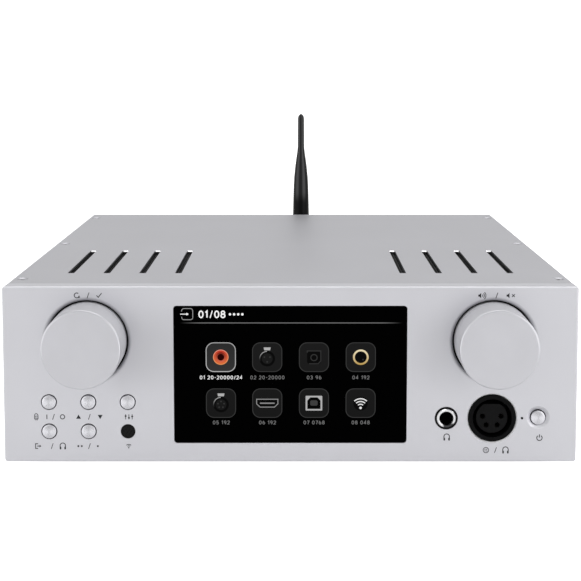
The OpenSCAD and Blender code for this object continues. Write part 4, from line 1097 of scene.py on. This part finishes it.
# ---------------------------------------------------------------- stage: camera, light and floor
scene = bpy.context.scene
cam = bpy.data.objects.new("camera", bpy.data.cameras.new("camera"))
scene.collection.objects.link(cam)
cam.data.lens = 73.406
cam.data.sensor_width = 36.0
cam.data.shift_x = -0.0083
cam.data.shift_y = -0.24
cam.data.clip_start = 0.01
cam.data.clip_end = 200.0
cam.location = (0.002483, -0.713345, 0.211266)
cam.rotation_euler = (math.radians(90.0 - 4.657), 0.0, 0.0)
scene.camera = cam

scene.view_settings.view_transform = "Standard"
scene.view_settings.look = "None"


def softbox(name, at, target, size, power, color=(1.0, 1.0, 1.0)):
    d = bpy.data.lights.new(name, "AREA")
    d.shape = "RECTANGLE"
    d.size, d.size_y = size
    d.energy = power
    d.color = color
    o = bpy.data.objects.new(name, d)
    scene.collection.objects.link(o)
    o.location = at
    o.rotation_euler = (Vector(target) - Vector(at)).to_track_quat("-Z", "Y").to_euler()
    o.visible_camera = False
    return o


softbox("light_left", (-1.25, -1.15, 0.95), (0, -0.1, 0.05), (1.5, 1.3), 2.2)
softbox("light_right", (1.25, -1.15, 0.95), (0, -0.1, 0.05), (1.5, 1.3), 2.6)
softbox("light_top", (0.0, -0.1, 1.7), (0, 0.0, 0.0), (1.8, 1.4), 13.6)
softbox("side_left", (-0.62, -0.52, 0.16), (-0.08, -0.135, 0.05), (0.35, 0.5), 0.41)
softbox("side_right", (0.62, -0.52, 0.16), (0.08, -0.135, 0.05), (0.35, 0.5), 0.58)

softbox("high_right", (1.35, -0.3, 1.0), (0.08, -0.135, 0.05), (0.5, 0.5), 2.6)

SKY = (0.8, 0.63, 1.45, 0.42)
FLOOR_GLOW = 0.28
world = bpy.data.worlds.new("studio")
scene.world = world
world.use_nodes = True
wt = world.node_tree
wt.nodes.clear()
wo = wt.nodes.new("ShaderNodeOutputWorld")
seen, lights = wt.nodes.new("ShaderNodeBackground"), wt.nodes.new("ShaderNodeBackground")
seen.inputs[0].default_value = (1.0, 1.0, 1.0, 1.0)
seen.inputs[1].default_value = 1.05
path = wt.nodes.new("ShaderNodeLightPath")
both = wt.nodes.new("ShaderNodeMixShader")
wc = wt.nodes.new("ShaderNodeTexCoord")
ws = wt.nodes.new("ShaderNodeSeparateXYZ")
wt.links.new(wc.outputs["Generated"], ws.inputs[0])


def ramp(name, source, a0, a1, b0, b1, smooth=True):
    x = wt.nodes.new("ShaderNodeMapRange")
    x.name = name
    x.interpolation_type = "SMOOTHSTEP" if smooth else "LINEAR"
    for i, q in enumerate((a0, a1, b0, b1)):
        x.inputs[i + 1].default_value = q
    wt.links.new(source, x.inputs[0])
    return x.outputs[0]


# the room: a dim middle and brighter sides in front, an even glow behind
wa = wt.nodes.new("ShaderNodeMath")
wa.operation = "ABSOLUTE"
wt.links.new(ws.outputs[0], wa.inputs[0])
in_front = ramp("in_front", ws.outputs[1], 0.2, -0.4, 0.0, 1.0)
front = ramp("front", ramp("aside", wa.outputs[0], 0.08, 0.75, 0.0, 1.0), 0.0, 1.0, SKY[0], SKY[1], False)
back = ramp("back", ramp("above", ws.outputs[2], 0.0, 0.6, 0.0, 1.0), 0.0, 1.0, SKY[2], SKY[3], False)
wm = wt.nodes.new("ShaderNodeMix")
wm.data_type = "FLOAT"
wt.links.new(in_front, wm.inputs[0])
wt.links.new(back, wm.inputs[2])
wt.links.new(front, wm.inputs[3])
wt.links.new(wm.outputs[0], lights.inputs[0])
lights.inputs[1].default_value = 1.0
wt.links.new(path.outputs["Is Camera Ray"], both.inputs[0])
wt.links.new(lights.outputs[0], both.inputs[1])
wt.links.new(seen.outputs[0], both.inputs[2])
wt.links.new(both.outputs[0], wo.inputs[0])

me = bpy.data.meshes.new("floor")
bm = bmesh.new()
bmesh.ops.create_grid(bm, x_segments=1, y_segments=1, size=30.0)
bm.to_mesh(me)
bm.free()
floor = bpy.data.objects.new("floor", me)
scene.collection.objects.link(floor)
floor.location = (0.0, 0.0, -0.0002)
fm = bpy.data.materials.new("floor_paper")
fm.use_nodes = True
ft = fm.node_tree
fb = ft.nodes["Principled BSDF"]
fb.inputs["Roughness"].default_value = 0.9
fb.inputs["Specular IOR Level"].default_value = 0.1
fc = ft.nodes.new("ShaderNodeTexCoord")
fn = ft.nodes.new("ShaderNodeTexNoise")
fn.inputs["Scale"].default_value = 3.0
ft.links.new(fc.outputs["Object"], fn.inputs["Vector"])
fx = ft.nodes.new("ShaderNodeMix")
fx.data_type = "RGBA"
fx.inputs[6].default_value = (0.62, 0.62, 0.625, 1)
fx.inputs[7].default_value = (0.66, 0.66, 0.665, 1)
ft.links.new(fn.outputs["Fac"], fx.inputs[0])
ft.links.new(fx.outputs[2], fb.inputs["Base Color"])
fp = ft.nodes.new("ShaderNodeLightPath")
fe = ft.nodes.new("ShaderNodeMapRange")
fe.name = "glow"
for i, q in enumerate((0.0, 1.0, FLOOR_GLOW, 0.9)):
    fe.inputs[i + 1].default_value = q
ft.links.new(fp.outputs["Is Camera Ray"], fe.inputs[0])
fb.inputs["Emission Color"].default_value = (1, 1, 1, 1)
ft.links.new(fe.outputs[0], fb.inputs["Emission Strength"])
me.materials.append(fm)

bpy.context.view_layer.update()
